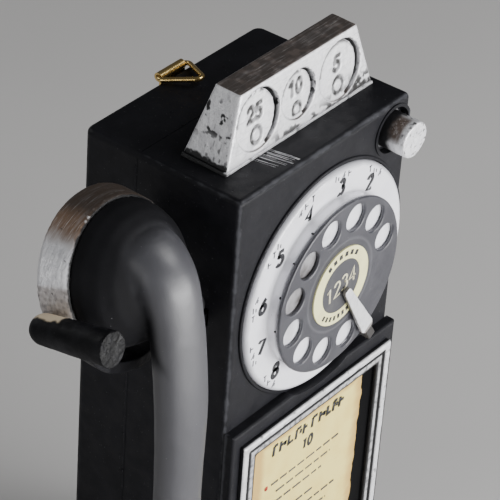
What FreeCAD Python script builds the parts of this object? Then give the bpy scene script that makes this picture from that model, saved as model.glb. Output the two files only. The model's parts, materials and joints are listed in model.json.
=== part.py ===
import FreeCAD, Part
import math
import os

from FreeCAD import Rotation, Vector

# A desk or wall size three-slot dial payphone. Millimetres, +Z up, -Y is the front.
# The origin is the middle of the case's footprint, on the underside of the base plate.

os.makedirs("parts", exist_ok=True)

# ---------------------------------------------------------------- driving dimensions
CASE_WIDTH = 100.0
CASE_DEPTH = 73.0
CASE_HEIGHT = 262.0                      # at the front; the top falls a little to the back
TOP_FALL = 2.0
WALL = 3.0
CORNER = 2.2                             # rounding of the case's front and top edges
BACK_CORNER = 4.0
BASE_THICK = 3.0
BASE_STEP = 2.0                          # the base plate's raised locating pad
FIT = 0.3                                # gap between separate pieces that don't touch

SIDE = CASE_WIDTH / 2
FRONT = -CASE_DEPTH / 2
BACK = CASE_DEPTH / 2
SEAM = 10.8                              # where the front casting meets the rear one
SEAM_GROOVE = 0.12
INNER = SIDE - WALL
FLOOR_Z = BASE_THICK + BASE_STEP

PANEL_PROUD = 4.3                        # the lower panel stands out from the case
PANEL_TOP = 158.2
PANEL_FACE = FRONT - PANEL_PROUD

DIAL_X = 2.2
DIAL_Z = 203.4
PLATE_R = 46.8
PLATE_FACE = FRONT - 2.6
PLATE_SINK = 1.5
PLATE_MIDDLE_R = 35.0
PLATE_WELL_R = 9.4
PLATE_GAP = 0.4
BEZEL_LIP = 1.2
BEZEL_PROUD = 0.9
WHEEL_R = 35.8
WHEEL_THICK = 1.6
WHEEL_FACE = FRONT - 9.0
HOLE_COUNT = 10
HOLE_R = 5.6
HOLE_CIRCLE = 27.8
FIRST_HOLE = 16.9                        # degrees from +X, counter-clockwise from the front
HOLE_STEP = 29.8
LABEL_R = 16.4
LABEL_CENTRE_R = 11.2
SPINDLE_R = 3.0
STOP_ANGLE = -58.0
DIAL_CUP_R = 36.0
DIAL_CUP_BACK = -12.0
MAIN_TEETH = 40
PINION_TEETH = 10
MODULE = 0.8

HEAD_X = DIAL_X
HEAD_TOP = 290.0
HEAD_BOTTOM_HALF = 42.8
HEAD_TOP_HALF = 33.5
HEAD_FRONT = (FRONT + 14.4, FRONT + 17.3)    # at the case top and at the head's top
HEAD_BACK = (FRONT + 34.9, FRONT + 28.9)
HEAD_BASE = 1.2
HEAD_SCREW_X = 34.0
HEAD_SCREW_Y = -8.5
RECESS_DEPTH = 1.0
CRESCENT = 1.8
COINS = (                                # name, recess x, recess z, recess r, coin diameter
    ("left", -22.0, 276.4, 12.1, 24.3),
    ("middle", 1.2, 276.4, 9.8, 17.9),
    ("right", 25.4, 275.6, 12.1, 21.2),
)
POCKET_FRONT = FRONT + 19.4
POCKET_THICK = 3.4
CHUTE_WALL = 0.5
CHUTE_BOTTOM = 118.0
CHUTE_BACK_Y = 14.0

BUTTON_X = 40.0
BUTTON_Z = 250.0
BUTTON_R = 7.3
BUTTON_PROUD = 10.4
BUTTON_TRAVEL = 4.0
BUTTON_RECESS_R = 9.4
STEM_R = 1.25
GATE_Y = 21.5
GATE_Z = 240.0
GATE_SHAFT_R = 1.5

FRAME_HALF = 45.5
FRAME_TOP = 152.0
FRAME_BOTTOM = 56.0
BEAD = 3.1
GROOVE = 1.6
FRAME_PROUD = 2.4
CARD_GAP_RIGHT = 6.0

RETURN_X = (-43.0, -15.0)
RETURN_Z = (11.0, 43.0)
RETURN_BACK = -13.0
VAULT_X = (-6.0, 42.0)
VAULT_Z = (FLOOR_Z, 45.0)
DOOR_THICK = 4.0
DOOR_PROUD = 1.5
LOCK_X = 2.0
LOCK_Z = 25.0

HANDSET_X = -82.0
CUP_TILT = 16.9                          # the cups' axes lean in towards each other
CUP_Y = FRONT + 25.3                     # middle of the ear cap's rim
CUP_Z = 237.0
CAP_R_RIM = 27.6
CAP_R_FACE = 29.9                      # the cap flares towards its face
CAP_DEPTH = 14.0
CAP_R_IN = 24.2
HANDSET_MID = 155.0
PRONG_R = (6.6, 5.7)                     # at its front end and at its back end
PRONG_DIP = 3.5                          # its front end hangs lower than the cup's axis
INNER_PRONG_R = (4.4, 3.8)
PRONG_CLEAR = 2.0                        # from the cap's rim, for the cap flares
OUTER_PRONG = 191.2                      # places round the cup: 0 towards the case, 90 up
INNER_PRONG = -45.0
YOKE_R = (CAP_R_RIM + 3.4, CAP_R_RIM + 8.0)
LEVER_END = -80.0
HOOK_PIVOT = (-41.0, 206.0)
HOOK_ARM_Y = (-24.5, -17.5)

RING_R = 1.0
RING_HALF = 9.5
RING_LENGTH = 17.4
RING_TILT = 12.0
RING_AXIS = (BACK + 1.5, 261.0)


# ---------------------------------------------------------------- shape helpers
def save(name, shape):
    """Writes one piece as parts/NAME.step."""
    shape.exportStep("parts/" + name + ".step")


def box(x, y, z):
    """A block between pairs of x, y and z."""
    return Part.makeBox(x[1] - x[0], y[1] - y[0], z[1] - z[0], Vector(x[0], y[0], z[0]))


def rod_x(y, z, r, x):
    return Part.makeCylinder(r, x[1] - x[0], Vector(x[0], y, z), Vector(1, 0, 0))


def rod_y(x, z, r, y):
    return Part.makeCylinder(r, y[1] - y[0], Vector(x, y[0], z), Vector(0, 1, 0))


def rod_z(x, y, r, z):
    return Part.makeCylinder(r, z[1] - z[0], Vector(x, y, z[0]), Vector(0, 0, 1))


def face_of(points):
    """A flat face with these corners."""
    return Part.Face(Part.makePolygon([Vector(*p) for p in points] + [Vector(*points[0])]))


def prism_x(outline, x):
    """An outline of (y, z) corners, extruded between two x."""
    return face_of([(x[0], y, z) for y, z in outline]).extrude(Vector(x[1] - x[0], 0, 0))


def prism_y(outline, y):
    """An outline of (x, z) corners, extruded between two y."""
    return face_of([(a, y[0], z) for a, z in outline]).extrude(Vector(0, y[1] - y[0], 0))


def prism_z(outline, z):
    """An outline of (x, y) corners, extruded between two z."""
    return face_of([(a, b, z[0]) for a, b in outline]).extrude(Vector(0, 0, z[1] - z[0]))


def turned(profile):
    """A profile of (radius, height) corners, turned about +Z."""
    return face_of([(r, 0, h) for r, h in profile]).revolve(Vector(0, 0, 0), Vector(0, 0, 1), 360)


def joined(shapes):
    """One solid from several that touch or overlap."""
    first = shapes[0]
    return first.fuse(list(shapes[1:])).removeSplitter()


def group(shapes):
    """Several separate solids kept as one node."""
    return Part.makeCompound(list(shapes))


def rounded(shape, r, wanted):
    """Rounds each edge whose middle satisfies wanted(x, y, z)."""
    edges = []
    for edge in shape.Edges:
        middle = edge.valueAt((edge.FirstParameter + edge.LastParameter) / 2)
        if wanted(middle.x, middle.y, middle.z):
            edges.append(edge)
    return shape.makeFillet(r, edges)


def near(a, b):
    return abs(a - b) < 0.01


def screw(x, z, y, toward, shank, head_r=2.4, shank_r=1.3):
    """A pan-head screw along Y. y is under its head, and toward is +1 or -1."""
    head = sorted((y - toward * 1.6, y))
    body = sorted((y, y + toward * shank))
    slot = box((x - 2 * head_r, x + 2 * head_r), sorted((head[0] if toward > 0 else head[1],
               (head[0] + 0.7) if toward > 0 else (head[1] - 0.7))), (z - 0.3, z + 0.3))
    return joined([rod_y(x, z, head_r, head), rod_y(x, z, shank_r, body)]).cut(slot)


# ---------------------------------------------------------------- case
def top_z(y, inset=0.0):
    """Height of the case's sloping top at y."""
    return CASE_HEIGHT - TOP_FALL * (y - FRONT) / CASE_DEPTH - inset


def case_block(y, inset=0.0, bottom=BASE_THICK):
    """The case's full outline between two y, drawn in by inset."""
    outline = ((y[0], bottom), (y[1], bottom), (y[1], top_z(y[1], inset)), (y[0], top_z(y[0], inset)))
    return prism_x(outline, (inset - SIDE, SIDE - inset))


def dial_lip():
    """The soft raised ring round the number plate, down to the lower panel."""
    ring = rod_y(DIAL_X, DIAL_Z, PLATE_R + FIT + BEZEL_LIP, (FRONT - BEZEL_PROUD, FRONT + 1))
    ring = rounded(ring, 0.5, lambda x, y, z: near(y, FRONT - BEZEL_PROUD))
    return ring.common(box((-SIDE, SIDE - 0.1), (FRONT - 2, FRONT + 2), (PANEL_TOP, CASE_HEIGHT)))


def front_housing():
    shell = case_block((FRONT, SEAM))
    shell = rounded(shell, CORNER, lambda x, y, z: (near(y, FRONT) and near(abs(x), SIDE))
                    or (z > top_z(y) - 0.1 and not near(y, SEAM)))
    lip = dial_lip()
    boss = rod_y(BUTTON_X, BUTTON_Z, BUTTON_RECESS_R + 1.3, (FRONT - 0.5, FRONT + 1))
    boss = boss.common(box((0, SIDE - 0.1), (FRONT - 1, FRONT + 1), (PANEL_TOP, top_z(FRONT) - 0.4)))
    shell = joined([shell, lip, boss])
    # The hollow inside, and thicker metal behind the button.
    hollow = case_block((FRONT + WALL, SEAM + 1), WALL, 0)
    keep = rod_y(BUTTON_X, BUTTON_Z, BUTTON_RECESS_R + 1.6, (FRONT + WALL - 0.1, FRONT + 8))
    keep = keep.common(box((0, INNER), (FRONT, 0), (0, top_z(FRONT) - WALL)))
    screw_bosses = [rod_y(sx * (INNER - 4.5), z, 4.0, (FRONT + WALL - 0.1, SEAM))
                    for sx in (-1, 1) for z in (60.0, 150.0)]
    shell = shell.cut(hollow)
    shell = joined([shell, keep] + screw_bosses)
    for sx in (-1, 1):
        for z in (60.0, 150.0):
            shell = shell.cut(rod_y(sx * (INNER - 4.5), z, 1.3, (SEAM - 14, SEAM + 1)))
    # Openings in the front wall.
    shell = shell.cut(rod_y(DIAL_X, DIAL_Z, PLATE_R + FIT, (FRONT - 2, FRONT + PLATE_SINK)))
    shell = shell.cut(rod_y(DIAL_X, DIAL_Z, DIAL_CUP_R + 1.2, (FRONT - 2, FRONT + WALL + 1)))
    shell = shell.cut(rod_y(BUTTON_X, BUTTON_Z, BUTTON_RECESS_R, (FRONT - 2, FRONT + 3.0)))
    shell = shell.cut(rod_y(BUTTON_X, BUTTON_Z, BUTTON_R + 0.9, (FRONT, FRONT + 12.5)))
    shell = shell.cut(box(RETURN_X, (FRONT - 1, FRONT + WALL + 1), RETURN_Z))
    shell = shell.cut(box(VAULT_X, (FRONT - 1, FRONT + WALL + 1), (FLOOR_Z, VAULT_Z[1])))
    # The coin slots through the top, and the lever's slot in the left side.
    for _, x, _, _, coin in COINS:
        half = coin / 2 + 0.5
        slot = box((x - half, x + half), (POCKET_FRONT, POCKET_FRONT + POCKET_THICK), (250, 270))
        shell = shell.cut(slot)
    shell = shell.cut(box((-SIDE - 1, -INNER + 1), (HOOK_ARM_Y[0] - 0.8, HOOK_ARM_Y[1] + 0.8),
                          (HOOK_PIVOT[1] - 3.2, HOOK_PIVOT[1] + 4.4)))
    for x in (HEAD_X - HEAD_SCREW_X, HEAD_X + HEAD_SCREW_X):
        shell = shell.cut(rod_z(x, HEAD_SCREW_Y, 1.5, (250, 270)))
    for x, z in dial_screw_places():
        shell = shell.cut(rod_y(x, z, 1.35, (FRONT, FRONT + WALL + 1)))
    for x, z in panel_screw_places():
        shell = shell.cut(rod_y(x, z, 1.3, (FRONT - 1, FRONT + WALL + 1)))
    # A fine groove marks the seam with the rear casting.
    ring = case_block((SEAM - 0.5, SEAM + 1)).cut(case_block((SEAM - 0.6, SEAM + 1), SEAM_GROOVE, 0))
    return shell.cut(ring)


def rear_housing():
    shell = case_block((SEAM, BACK))
    shell = rounded(shell, BACK_CORNER, lambda x, y, z: near(y, BACK) and near(abs(x), SIDE))
    shell = rounded(shell, CORNER, lambda x, y, z: z > top_z(y) - 0.1 and not near(y, SEAM))
    hollow = case_block((SEAM - 1, BACK - WALL), WALL, 0)
    shell = shell.cut(hollow)
    posts = [rod_y(sx * (INNER - 4.5), z, 4.0, (SEAM, BACK - WALL + 0.1))
             for sx in (-1, 1) for z in (60.0, 150.0)]
    shell = joined([shell] + posts)
    for sx in (-1, 1):
        for z in (60.0, 150.0):
            shell = shell.cut(rod_y(sx * (INNER - 4.5), z, 1.6, (SEAM - 1, BACK + 1)))
            shell = shell.cut(rod_y(sx * (INNER - 4.5), z, 3.0, (BACK - 2.4, BACK + 1)))
    for x in (-4.0, 4.0):
        shell = shell.cut(rod_y(x, 248.0, 0.95, (BACK - WALL - 1, BACK + 1)))
    # The cord's entry low on the back.
    return shell.cut(rod_y(-30.0, 24.0, 4.0, (BACK - WALL - 1, BACK + 1)))


def cord_gland():
    """The bush in the back wall where a line cord would come in."""
    bush = joined([rod_y(-30.0, 24.0, 4.0, (BACK - WALL - 1.2, BACK)),
                   rod_y(-30.0, 24.0, 5.6, (BACK - WALL - 1.6, BACK - WALL))])
    return bush.cut(rod_y(-30.0, 24.0, 2.2, (BACK - WALL - 3, BACK + 1)))


def base_plate():
    plate = box((-SIDE, SIDE), (PANEL_FACE, BACK), (0, BASE_THICK))
    plate = rounded(plate, 2.0, lambda x, y, z: near(abs(x), SIDE) and (near(y, PANEL_FACE) or near(y, BACK)))
    pad = box((FIT - INNER, INNER - FIT), (FRONT + WALL + FIT, BACK - WALL - FIT), (2, FLOOR_Z))
    plate = joined([plate, pad])
    for x, y in base_screw_places():
        plate = plate.cut(rod_z(x, y, 1.5, (-1, FLOOR_Z + 1)))
        plate = plate.cut(rod_z(x, y, 2.8, (-1, 2.2)))
    return plate


def base_screw_places():
    return [(sx * 43.0, y) for sx in (-1, 1) for y in (-8.0, 28.0)]


def base_bosses():
    """Corner blocks inside the housings that the base screws bite into."""
    blocks = []
    for x, y in base_screw_places():
        outer = (x, math.copysign(INNER, x))
        block = box(sorted((x - math.copysign(3.5, x), outer[1])), (y - 3.5, y + 3.5), (FLOOR_Z, 15.0))
        blocks.append(block.cut(rod_z(x, y, 1.1, (FLOOR_Z - 1, 14.0))))
    return group(blocks)


def base_screws():
    screws = []
    for x, y in base_screw_places():
        head = rod_z(x, y, 2.4, (0.4, 2.2))
        shank = rod_z(x, y, 1.1, (2.2, 13.0))
        slot = box((x - 3, x + 3), (y - 0.3, y + 0.3), (0.3, 1.0))
        screws.append(joined([head, shank]).cut(slot))
    return group(screws)


def housing_screws():
    return group([screw(sx * (INNER - 4.5), z, BACK - 2.4, -1, 34.0, 2.5, 1.3)
                  for sx in (-1, 1) for z in (60.0, 150.0)])


# ---------------------------------------------------------------- lower front
def lower_panel():
    panel = box((-SIDE, SIDE), (PANEL_FACE, FRONT), (BASE_THICK, PANEL_TOP))
    panel = rounded(panel, 1.2, lambda x, y, z: near(y, PANEL_FACE))
    panel = panel.cut(rod_y(DIAL_X, DIAL_Z, PLATE_R + BEZEL_LIP + 0.4, (PANEL_FACE - 1, FRONT + 1)))
    panel = panel.cut(box(RETURN_X, (PANEL_FACE - 1, FRONT + 1), RETURN_Z))
    panel = panel.cut(box(VAULT_X, (PANEL_FACE - 1, FRONT + 1), VAULT_Z))
    for x, z in panel_screw_places():
        panel = panel.cut(rod_y(x, z, 1.25, (PANEL_FACE + 1.4, FRONT + 1)))
    # Rebates for the door's hinge pin, above and below the opening.
    return panel.cut(rod_z(door_pin()[0], door_pin()[1], 1.25, (FLOOR_Z - 1.5, VAULT_Z[1] + 4)))


def panel_screw_places():
    return [(sx * 40.0, z) for sx in (-1, 1) for z in (75.0, 135.0)]


def panel_screws():
    """Four short screws from inside the front wall into the panel."""
    return group([screw(x, z, FRONT + WALL, -1, 5.6, 2.2, 1.2) for x, z in panel_screw_places()])


def frame_outline(half, top, bottom, y):
    return box((-half, half), y, (bottom, top))


def card_frame():
    """Two round beads with a groove between them, mitred at the corners."""
    outer = frame_outline(FRAME_HALF, FRAME_TOP, FRAME_BOTTOM, (PANEL_FACE - FRAME_PROUD, PANEL_FACE))
    width = 2 * BEAD + GROOVE
    window = frame_outline(FRAME_HALF - width, FRAME_TOP - width, FRAME_BOTTOM + width,
                           (PANEL_FACE - 9, PANEL_FACE + 1))
    groove_out = frame_outline(FRAME_HALF - BEAD, FRAME_TOP - BEAD, FRAME_BOTTOM + BEAD,
                               (PANEL_FACE - 9, PANEL_FACE - 0.9))
    groove_in = frame_outline(FRAME_HALF - BEAD - GROOVE, FRAME_TOP - BEAD - GROOVE,
                              FRAME_BOTTOM + BEAD + GROOVE, (PANEL_FACE - 10, PANEL_FACE))
    inner_face = box((-FRAME_HALF + BEAD + 0.1, FRAME_HALF - BEAD - 0.1),
                     (PANEL_FACE - 9, PANEL_FACE - FRAME_PROUD + 0.5),
                     (FRAME_BOTTOM + BEAD + 0.1, FRAME_TOP - BEAD - 0.1))
    frame = outer.cut(window).cut(groove_out.cut(groove_in)).cut(inner_face)
    face = PANEL_FACE - FRAME_PROUD
    return rounded(frame, 0.8, lambda x, y, z: near(y, face))


def card():
    """The instruction card, a little short of the frame on its right."""
    half = FRAME_HALF - 2 * BEAD - GROOVE - FIT
    return box((-half, half - CARD_GAP_RIGHT), (PANEL_FACE - 0.7, PANEL_FACE),
               (FRAME_BOTTOM + 2 * BEAD + GROOVE + FIT, FRAME_TOP - 2 * BEAD - GROOVE - FIT))


def return_bezel():
    outer = box((RETURN_X[0] - 2.2, RETURN_X[1] + 2.2), (PANEL_FACE - 1.8, PANEL_FACE),
                (RETURN_Z[0] - 2.2, RETURN_Z[1] + 2.2))
    outer = rounded(outer, 1.0, lambda x, y, z: near(y, PANEL_FACE - 1.8))
    return outer.cut(box((RETURN_X[0] + 1.2, RETURN_X[1] - 1.2), (PANEL_FACE - 3, PANEL_FACE + 1),
                         (RETURN_Z[0] + 1.2, RETURN_Z[1] - 1.2)))


def return_cup():
    """The coin-return cup: open at the front, and at the top behind the flap's swing."""
    wall = 1.2
    x = (RETURN_X[0], RETURN_X[1])
    cup = box(x, (PANEL_FACE, RETURN_BACK), RETURN_Z)
    inside = box((x[0] + wall, x[1] - wall), (PANEL_FACE - 1, RETURN_BACK - wall),
                 (RETURN_Z[0] + wall, RETURN_Z[1] - wall))
    drop = box((x[0] + wall, x[1] - wall), (RETURN_BACK - wall - 8.0, RETURN_BACK - wall),
               (RETURN_Z[1] - 5, RETURN_Z[1] + 1))
    pin = rod_x(flap_pin()[0], flap_pin()[1], 0.9, (x[0] - 1, x[1] + 1))
    return cup.cut(inside).cut(drop).cut(pin)


def flap_pin():
    return (PANEL_FACE + 1.6, RETURN_Z[1] - 3.2)


def return_flap_pin():
    y, z = flap_pin()
    return rod_x(y, z, 0.9, RETURN_X)


def return_flap():
    """The flap that hangs on its pin and pushes inwards."""
    y, z = flap_pin()
    x = (RETURN_X[0] + 1.2 + FIT, RETURN_X[1] - 1.2 - FIT)
    knuckle = rod_x(y, z, 1.5, x)
    leaf = box(x, (y - 0.7, y + 0.7), (RETURN_Z[0] + 1.2 + FIT + 0.4, z))
    lip = box(((x[0] + x[1]) / 2 - 6, (x[0] + x[1]) / 2 + 6), (y - 1.3, y), (15.0, 17.0))
    return joined([knuckle, leaf, lip]).cut(rod_x(y, z, 0.95, (x[0] - 1, x[1] + 1)))


def door_pin():
    return (VAULT_X[1] - 2.4, PANEL_FACE - DOOR_PROUD + DOOR_THICK / 2)


def vault_door():
    x, y = door_pin()
    half = DOOR_THICK / 2
    z = (VAULT_Z[0] + 0.4, VAULT_Z[1] - 0.4)
    leaf = box((VAULT_X[0] + 0.4, x), (y - half, y + half), z)
    leaf = rounded(leaf, 1.0, lambda a, b, c: near(b, y - half) and a < x - 1)
    door = joined([leaf, rod_z(x, y, half, z)])
    # A shallow raised field round the lock.
    field = box((VAULT_X[0] + 4, x - 4), (y - half - 0.8, y - half + 0.1), (z[0] + 4, z[1] - 4))
    field = rounded(field, 0.6, lambda a, b, c: near(b, y - half - 0.8))
    door = joined([door, field])
    door = door.cut(rod_z(x, y, 1.25, (z[0] - 1, z[1] + 1)))
    return door.cut(rod_y(LOCK_X, LOCK_Z, 5.05, (y - half - 2, y + half + 1)))


def vault_door_pin():
    x, y = door_pin()
    return rod_z(x, y, 1.2, (FLOOR_Z - 1.5, VAULT_Z[1] + 4))


def lock_barrel():
    y = door_pin()[1] - DOOR_THICK / 2
    barrel = rod_y(LOCK_X, LOCK_Z, 5.0, (y - 1.4, FRONT + WALL + 0.6))
    rim = rod_y(LOCK_X, LOCK_Z, 6.2, (y - 1.9, y - 0.85))
    keyway = box((LOCK_X - 0.6, LOCK_X + 0.6), (y - 3, y + 3), (LOCK_Z - 2.6, LOCK_Z + 2.6))
    tail = rod_y(LOCK_X, LOCK_Z, 2.0, (FRONT + WALL + 0.5, FRONT + WALL + 2.6))
    return joined([barrel, rim, tail]).cut(keyway)


def lock_cam():
    """The bolt on the lock's tail. It points up when the door is unlocked."""
    y = (FRONT + WALL + 0.6, FRONT + WALL + 1.8)
    cam = joined([rod_y(LOCK_X, LOCK_Z, 3.4, y), box((LOCK_X - 2, LOCK_X + 2), y, (LOCK_Z, LOCK_Z + 12))])
    return cam.cut(rod_y(LOCK_X, LOCK_Z, 2.0, (y[0] - 1, y[1] + 1)))


def coin_box():
    """The open-topped cash box behind the vault door."""
    x = (VAULT_X[0] + 1.5, VAULT_X[1] - 5.0)
    y = (FRONT + WALL + 3.4, 22.0)
    z = (FLOOR_Z, 38.0)
    wall = 1.0
    tray = box(x, y, z)
    inside = box((x[0] + wall, x[1] - wall), (y[0] + wall, y[1] - wall), (z[0] + wall, z[1] + 1))
    grip = rod_y((x[0] + x[1]) / 2, z[1] - 4, 6.0, (y[0] - 1, y[0] + wall + 1))
    return tray.cut(inside).cut(grip)


# ---------------------------------------------------------------- coin head and chutes
def head_block(z, grow=0.0):
    """The sloping-sided coin head between two heights."""
    z0 = top_z(HEAD_FRONT[0])
    def part(value):
        return (value - z0) / (HEAD_TOP - z0)
    def corners(level):
        t = part(level)
        half = HEAD_BOTTOM_HALF + t * (HEAD_TOP_HALF - HEAD_BOTTOM_HALF) + grow
        y0 = HEAD_FRONT[0] + t * (HEAD_FRONT[1] - HEAD_FRONT[0]) - grow
        y1 = HEAD_BACK[0] + t * (HEAD_BACK[1] - HEAD_BACK[0]) + grow
        points = ((HEAD_X - half, y0), (HEAD_X + half, y0), (HEAD_X + half, y1), (HEAD_X - half, y1))
        loop = [Vector(px, py, level) for px, py in points]
        return Part.makePolygon(loop + [loop[0]])
    return Part.makeLoft([corners(z[0]), corners(z[1])], True, True)


def recess_axis():
    """The slanting front face's outward normal."""
    rise = HEAD_TOP - top_z(HEAD_FRONT[0])
    run = HEAD_FRONT[1] - HEAD_FRONT[0]
    return Vector(0, -rise, run).normalize()


def head_face_y(z):
    """Where the slanting front face is at a height."""
    z0 = top_z(HEAD_FRONT[0])
    return HEAD_FRONT[0] + (z - z0) / (HEAD_TOP - z0) * (HEAD_FRONT[1] - HEAD_FRONT[0])


def coin_pockets(z_low):
    """Round-topped pockets, one coin thick, behind the recesses."""
    pockets = []
    y = (POCKET_FRONT, POCKET_FRONT + POCKET_THICK)
    for _, x, z, _, coin in COINS:
        half = coin / 2 + 0.5
        middle = z - 3.0
        pockets.append(box((x - half, x + half), y, (z_low, middle)))
        pockets.append(rod_y(x, middle, half, y))
    return pockets


def coin_head():
    seat = top_z(HEAD_FRONT[0]) + HEAD_BASE
    head = head_block((seat, HEAD_TOP))
    head = rounded(head, 0.9, lambda x, y, z: z > seat + 1)
    head = head.cut(coin_pockets(seat - 1))
    out = recess_axis()
    for _, x, z, r, _ in COINS:
        face = Vector(x, head_face_y(z), z)
        recess = Part.makeCylinder(r, 4.0, face - out * RECESS_DEPTH, out)
        deep = Part.makeCylinder(r, 6.4, face - out * 6.2, out)
        cover = Part.makeCylinder(r, 9.0, face - out * 8.0 - Vector(CRESCENT, 0, 0), out)
        head = head.cut(recess).cut(deep.cut(cover).common(box((x, x + r + 1), (-60, 30), (250, 300))))
    for x in (HEAD_X - HEAD_SCREW_X, HEAD_X + HEAD_SCREW_X):
        head = head.cut(rod_z(x, HEAD_SCREW_Y, 1.25, (seat - 1, seat + 9)))
    return head


def coin_head_base():
    """The dark pad between the coin head and the case."""
    seat = top_z(HEAD_FRONT[0]) + HEAD_BASE
    pad = head_block((top_z(HEAD_BACK[0]) - 2, seat), 0.25)
    pad = pad.cut(case_block((FRONT, BACK)))
    pad = pad.cut(coin_pockets(250.0))
    for x in (HEAD_X - HEAD_SCREW_X, HEAD_X + HEAD_SCREW_X):
        pad = pad.cut(rod_z(x, HEAD_SCREW_Y, 1.5, (250, seat + 1)))
    return pad


def coin_head_screws():
    """Two screws up through the case top into the head."""
    screws = []
    top = top_z(HEAD_SCREW_Y)
    for x in (HEAD_X - HEAD_SCREW_X, HEAD_X + HEAD_SCREW_X):
        screws.append(joined([rod_z(x, HEAD_SCREW_Y, 1.2, (top - WALL - 0.1, top + 9.5)),
                              rod_z(x, HEAD_SCREW_Y, 2.4, (top - WALL - 1.7, top - WALL - 0.1))]))
    return group(screws)


def mitred(path, h):
    """Corners of a band of half-width h about a path of (y, z) points."""
    left, right = [], []
    for i, (y, z) in enumerate(path):
        before = path[max(i - 1, 0)]
        after = path[min(i + 1, len(path) - 1)]
        legs = []
        for a, b in ((before, (y, z)), ((y, z), after)):
            length = math.hypot(b[0] - a[0], b[1] - a[1])
            if length > 0:
                legs.append((-(b[1] - a[1]) / length, (b[0] - a[0]) / length))
        ny = sum(leg[0] for leg in legs) / len(legs)
        nz = sum(leg[1] for leg in legs) / len(legs)
        scale = h / (ny * ny + nz * nz)
        left.append((y + ny * scale, z + nz * scale))
        right.append((y - ny * scale, z - nz * scale))
    return left + right[::-1]


def chute_path():
    y = POCKET_FRONT + POCKET_THICK / 2
    start = top_z(y) - WALL - 0.6
    return [(y, start), (y, 249.0), (CHUTE_BACK_Y, 224.0), (CHUTE_BACK_Y, CHUTE_BOTTOM)]


def coin_chute(x, coin):
    """A flat duct one coin thick, from the case top to the hopper."""
    path = chute_path()
    half = coin / 2 + 0.5
    longer = [(path[0][0], path[0][1] + 1)] + path[1:-1] + [(path[-1][0], path[-1][1] - 1)]
    duct = prism_x(mitred(path, POCKET_THICK / 2 + CHUTE_WALL), (x - half - CHUTE_WALL, x + half + CHUTE_WALL))
    return duct.cut(prism_x(mitred(longer, POCKET_THICK / 2), (x - half, x + half)))


def chute_bracket():
    """The plate behind the three ducts, on two posts from the back wall."""
    y0 = CHUTE_BACK_Y + POCKET_THICK / 2 + CHUTE_WALL
    plate = box((-37, 37.5), (y0, y0 + 1.2), (150, 200))
    posts = [rod_y(x, 175.0, 4.0, (y0 + 1.1, BACK - WALL)) for x in (-25.0, 27.0)]
    return joined([plate] + posts)


def coin_hopper():
    """The funnel that gathers coins over the cash box."""
    y = (CHUTE_BACK_Y - 5.0, CHUTE_BACK_Y + 6.0)
    wall = 1.0
    outer = ((-38, CHUTE_BOTTOM), (40, CHUTE_BOTTOM), (40, 104), (32, 46), (2, 46), (-38, 100))
    inner = ((-37, CHUTE_BOTTOM + 1), (39, CHUTE_BOTTOM + 1), (39, 104), (31, 45), (3.2, 45), (-37, 100))
    funnel = prism_y(outer, y)
    return funnel.cut(prism_y(inner, (y[0] + wall, y[1] - wall)))


# ---------------------------------------------------------------- dial
def number_plate():
    """The white plate. Its raised middle comes close behind the wheel, round a well for the bushing."""
    plate = rod_y(DIAL_X, DIAL_Z, PLATE_R, (PLATE_FACE, FRONT + PLATE_SINK))
    plate = rounded(plate, 2.0, lambda x, y, z: near(y, PLATE_FACE))
    middle_face = WHEEL_FACE + WHEEL_THICK + PLATE_GAP
    middle = rod_y(DIAL_X, DIAL_Z, PLATE_MIDDLE_R, (middle_face, PLATE_FACE + 0.5))
    middle = rounded(middle, 1.0, lambda x, y, z: near(y, middle_face))
    plate = joined([plate, middle])
    plate = plate.cut(rod_y(DIAL_X, DIAL_Z, PLATE_WELL_R, (middle_face - 1, PLATE_FACE)))
    return plate.cut(rod_y(DIAL_X, DIAL_Z, 7.05, (PLATE_FACE - 1, FRONT + 3)))


def dial_bushing():
    """The brass bearing that the spindle turns in; its flange holds the plate."""
    body = rod_y(DIAL_X, DIAL_Z, 7.0, (PLATE_FACE, DIAL_CUP_BACK - 14.0))
    flange = rod_y(DIAL_X, DIAL_Z, 9.0, (PLATE_FACE - 1.0, PLATE_FACE))
    return joined([body, flange]).cut(rod_y(DIAL_X, DIAL_Z, SPINDLE_R + 0.05, (-60, 0)))


def dial_cup():
    """The pressed can behind the front wall that carries the dial's works."""
    y0 = FRONT + WALL
    can = rod_y(DIAL_X, DIAL_Z, DIAL_CUP_R, (y0, DIAL_CUP_BACK))
    hollow = rod_y(DIAL_X, DIAL_Z, DIAL_CUP_R - 1.2, (y0 + 2.4, DIAL_CUP_BACK - 1.2))
    flange = rod_y(DIAL_X, DIAL_Z, DIAL_CUP_R + 5.0, (y0, y0 + 1.2))
    shape = joined([can, flange]).cut(hollow)
    shape = shape.cut(rod_y(DIAL_X, DIAL_Z, 7.05, (y0 - 1, y0 + 4)))
    shape = shape.cut(rod_y(DIAL_X, DIAL_Z, SPINDLE_R + 0.05, (DIAL_CUP_BACK - 3, DIAL_CUP_BACK + 1)))
    governor = governor_place()
    shape = shape.cut(rod_y(governor[0], governor[1], 1.55, (y0, DIAL_CUP_BACK + 1)))
    for x, z in dial_screw_places():
        shape = shape.cut(rod_y(x, z, 1.35, (y0 - 1, y0 + 3)))
    return shape


def dial_screw_places():
    r = DIAL_CUP_R + 3.0
    return [(DIAL_X + r * math.cos(math.radians(a)), DIAL_Z + r * math.sin(math.radians(a)))
            for a in (90, 210, 330)]


def dial_screws():
    return group([screw(x, z, FRONT + WALL + 1.2, -1, 2.6, 1.8, 1.3) for x, z in dial_screw_places()])


def hole_centres():
    return [(DIAL_X + HOLE_CIRCLE * math.cos(math.radians(FIRST_HOLE + i * HOLE_STEP)),
             DIAL_Z + HOLE_CIRCLE * math.sin(math.radians(FIRST_HOLE + i * HOLE_STEP)))
            for i in range(HOLE_COUNT)]


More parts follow.
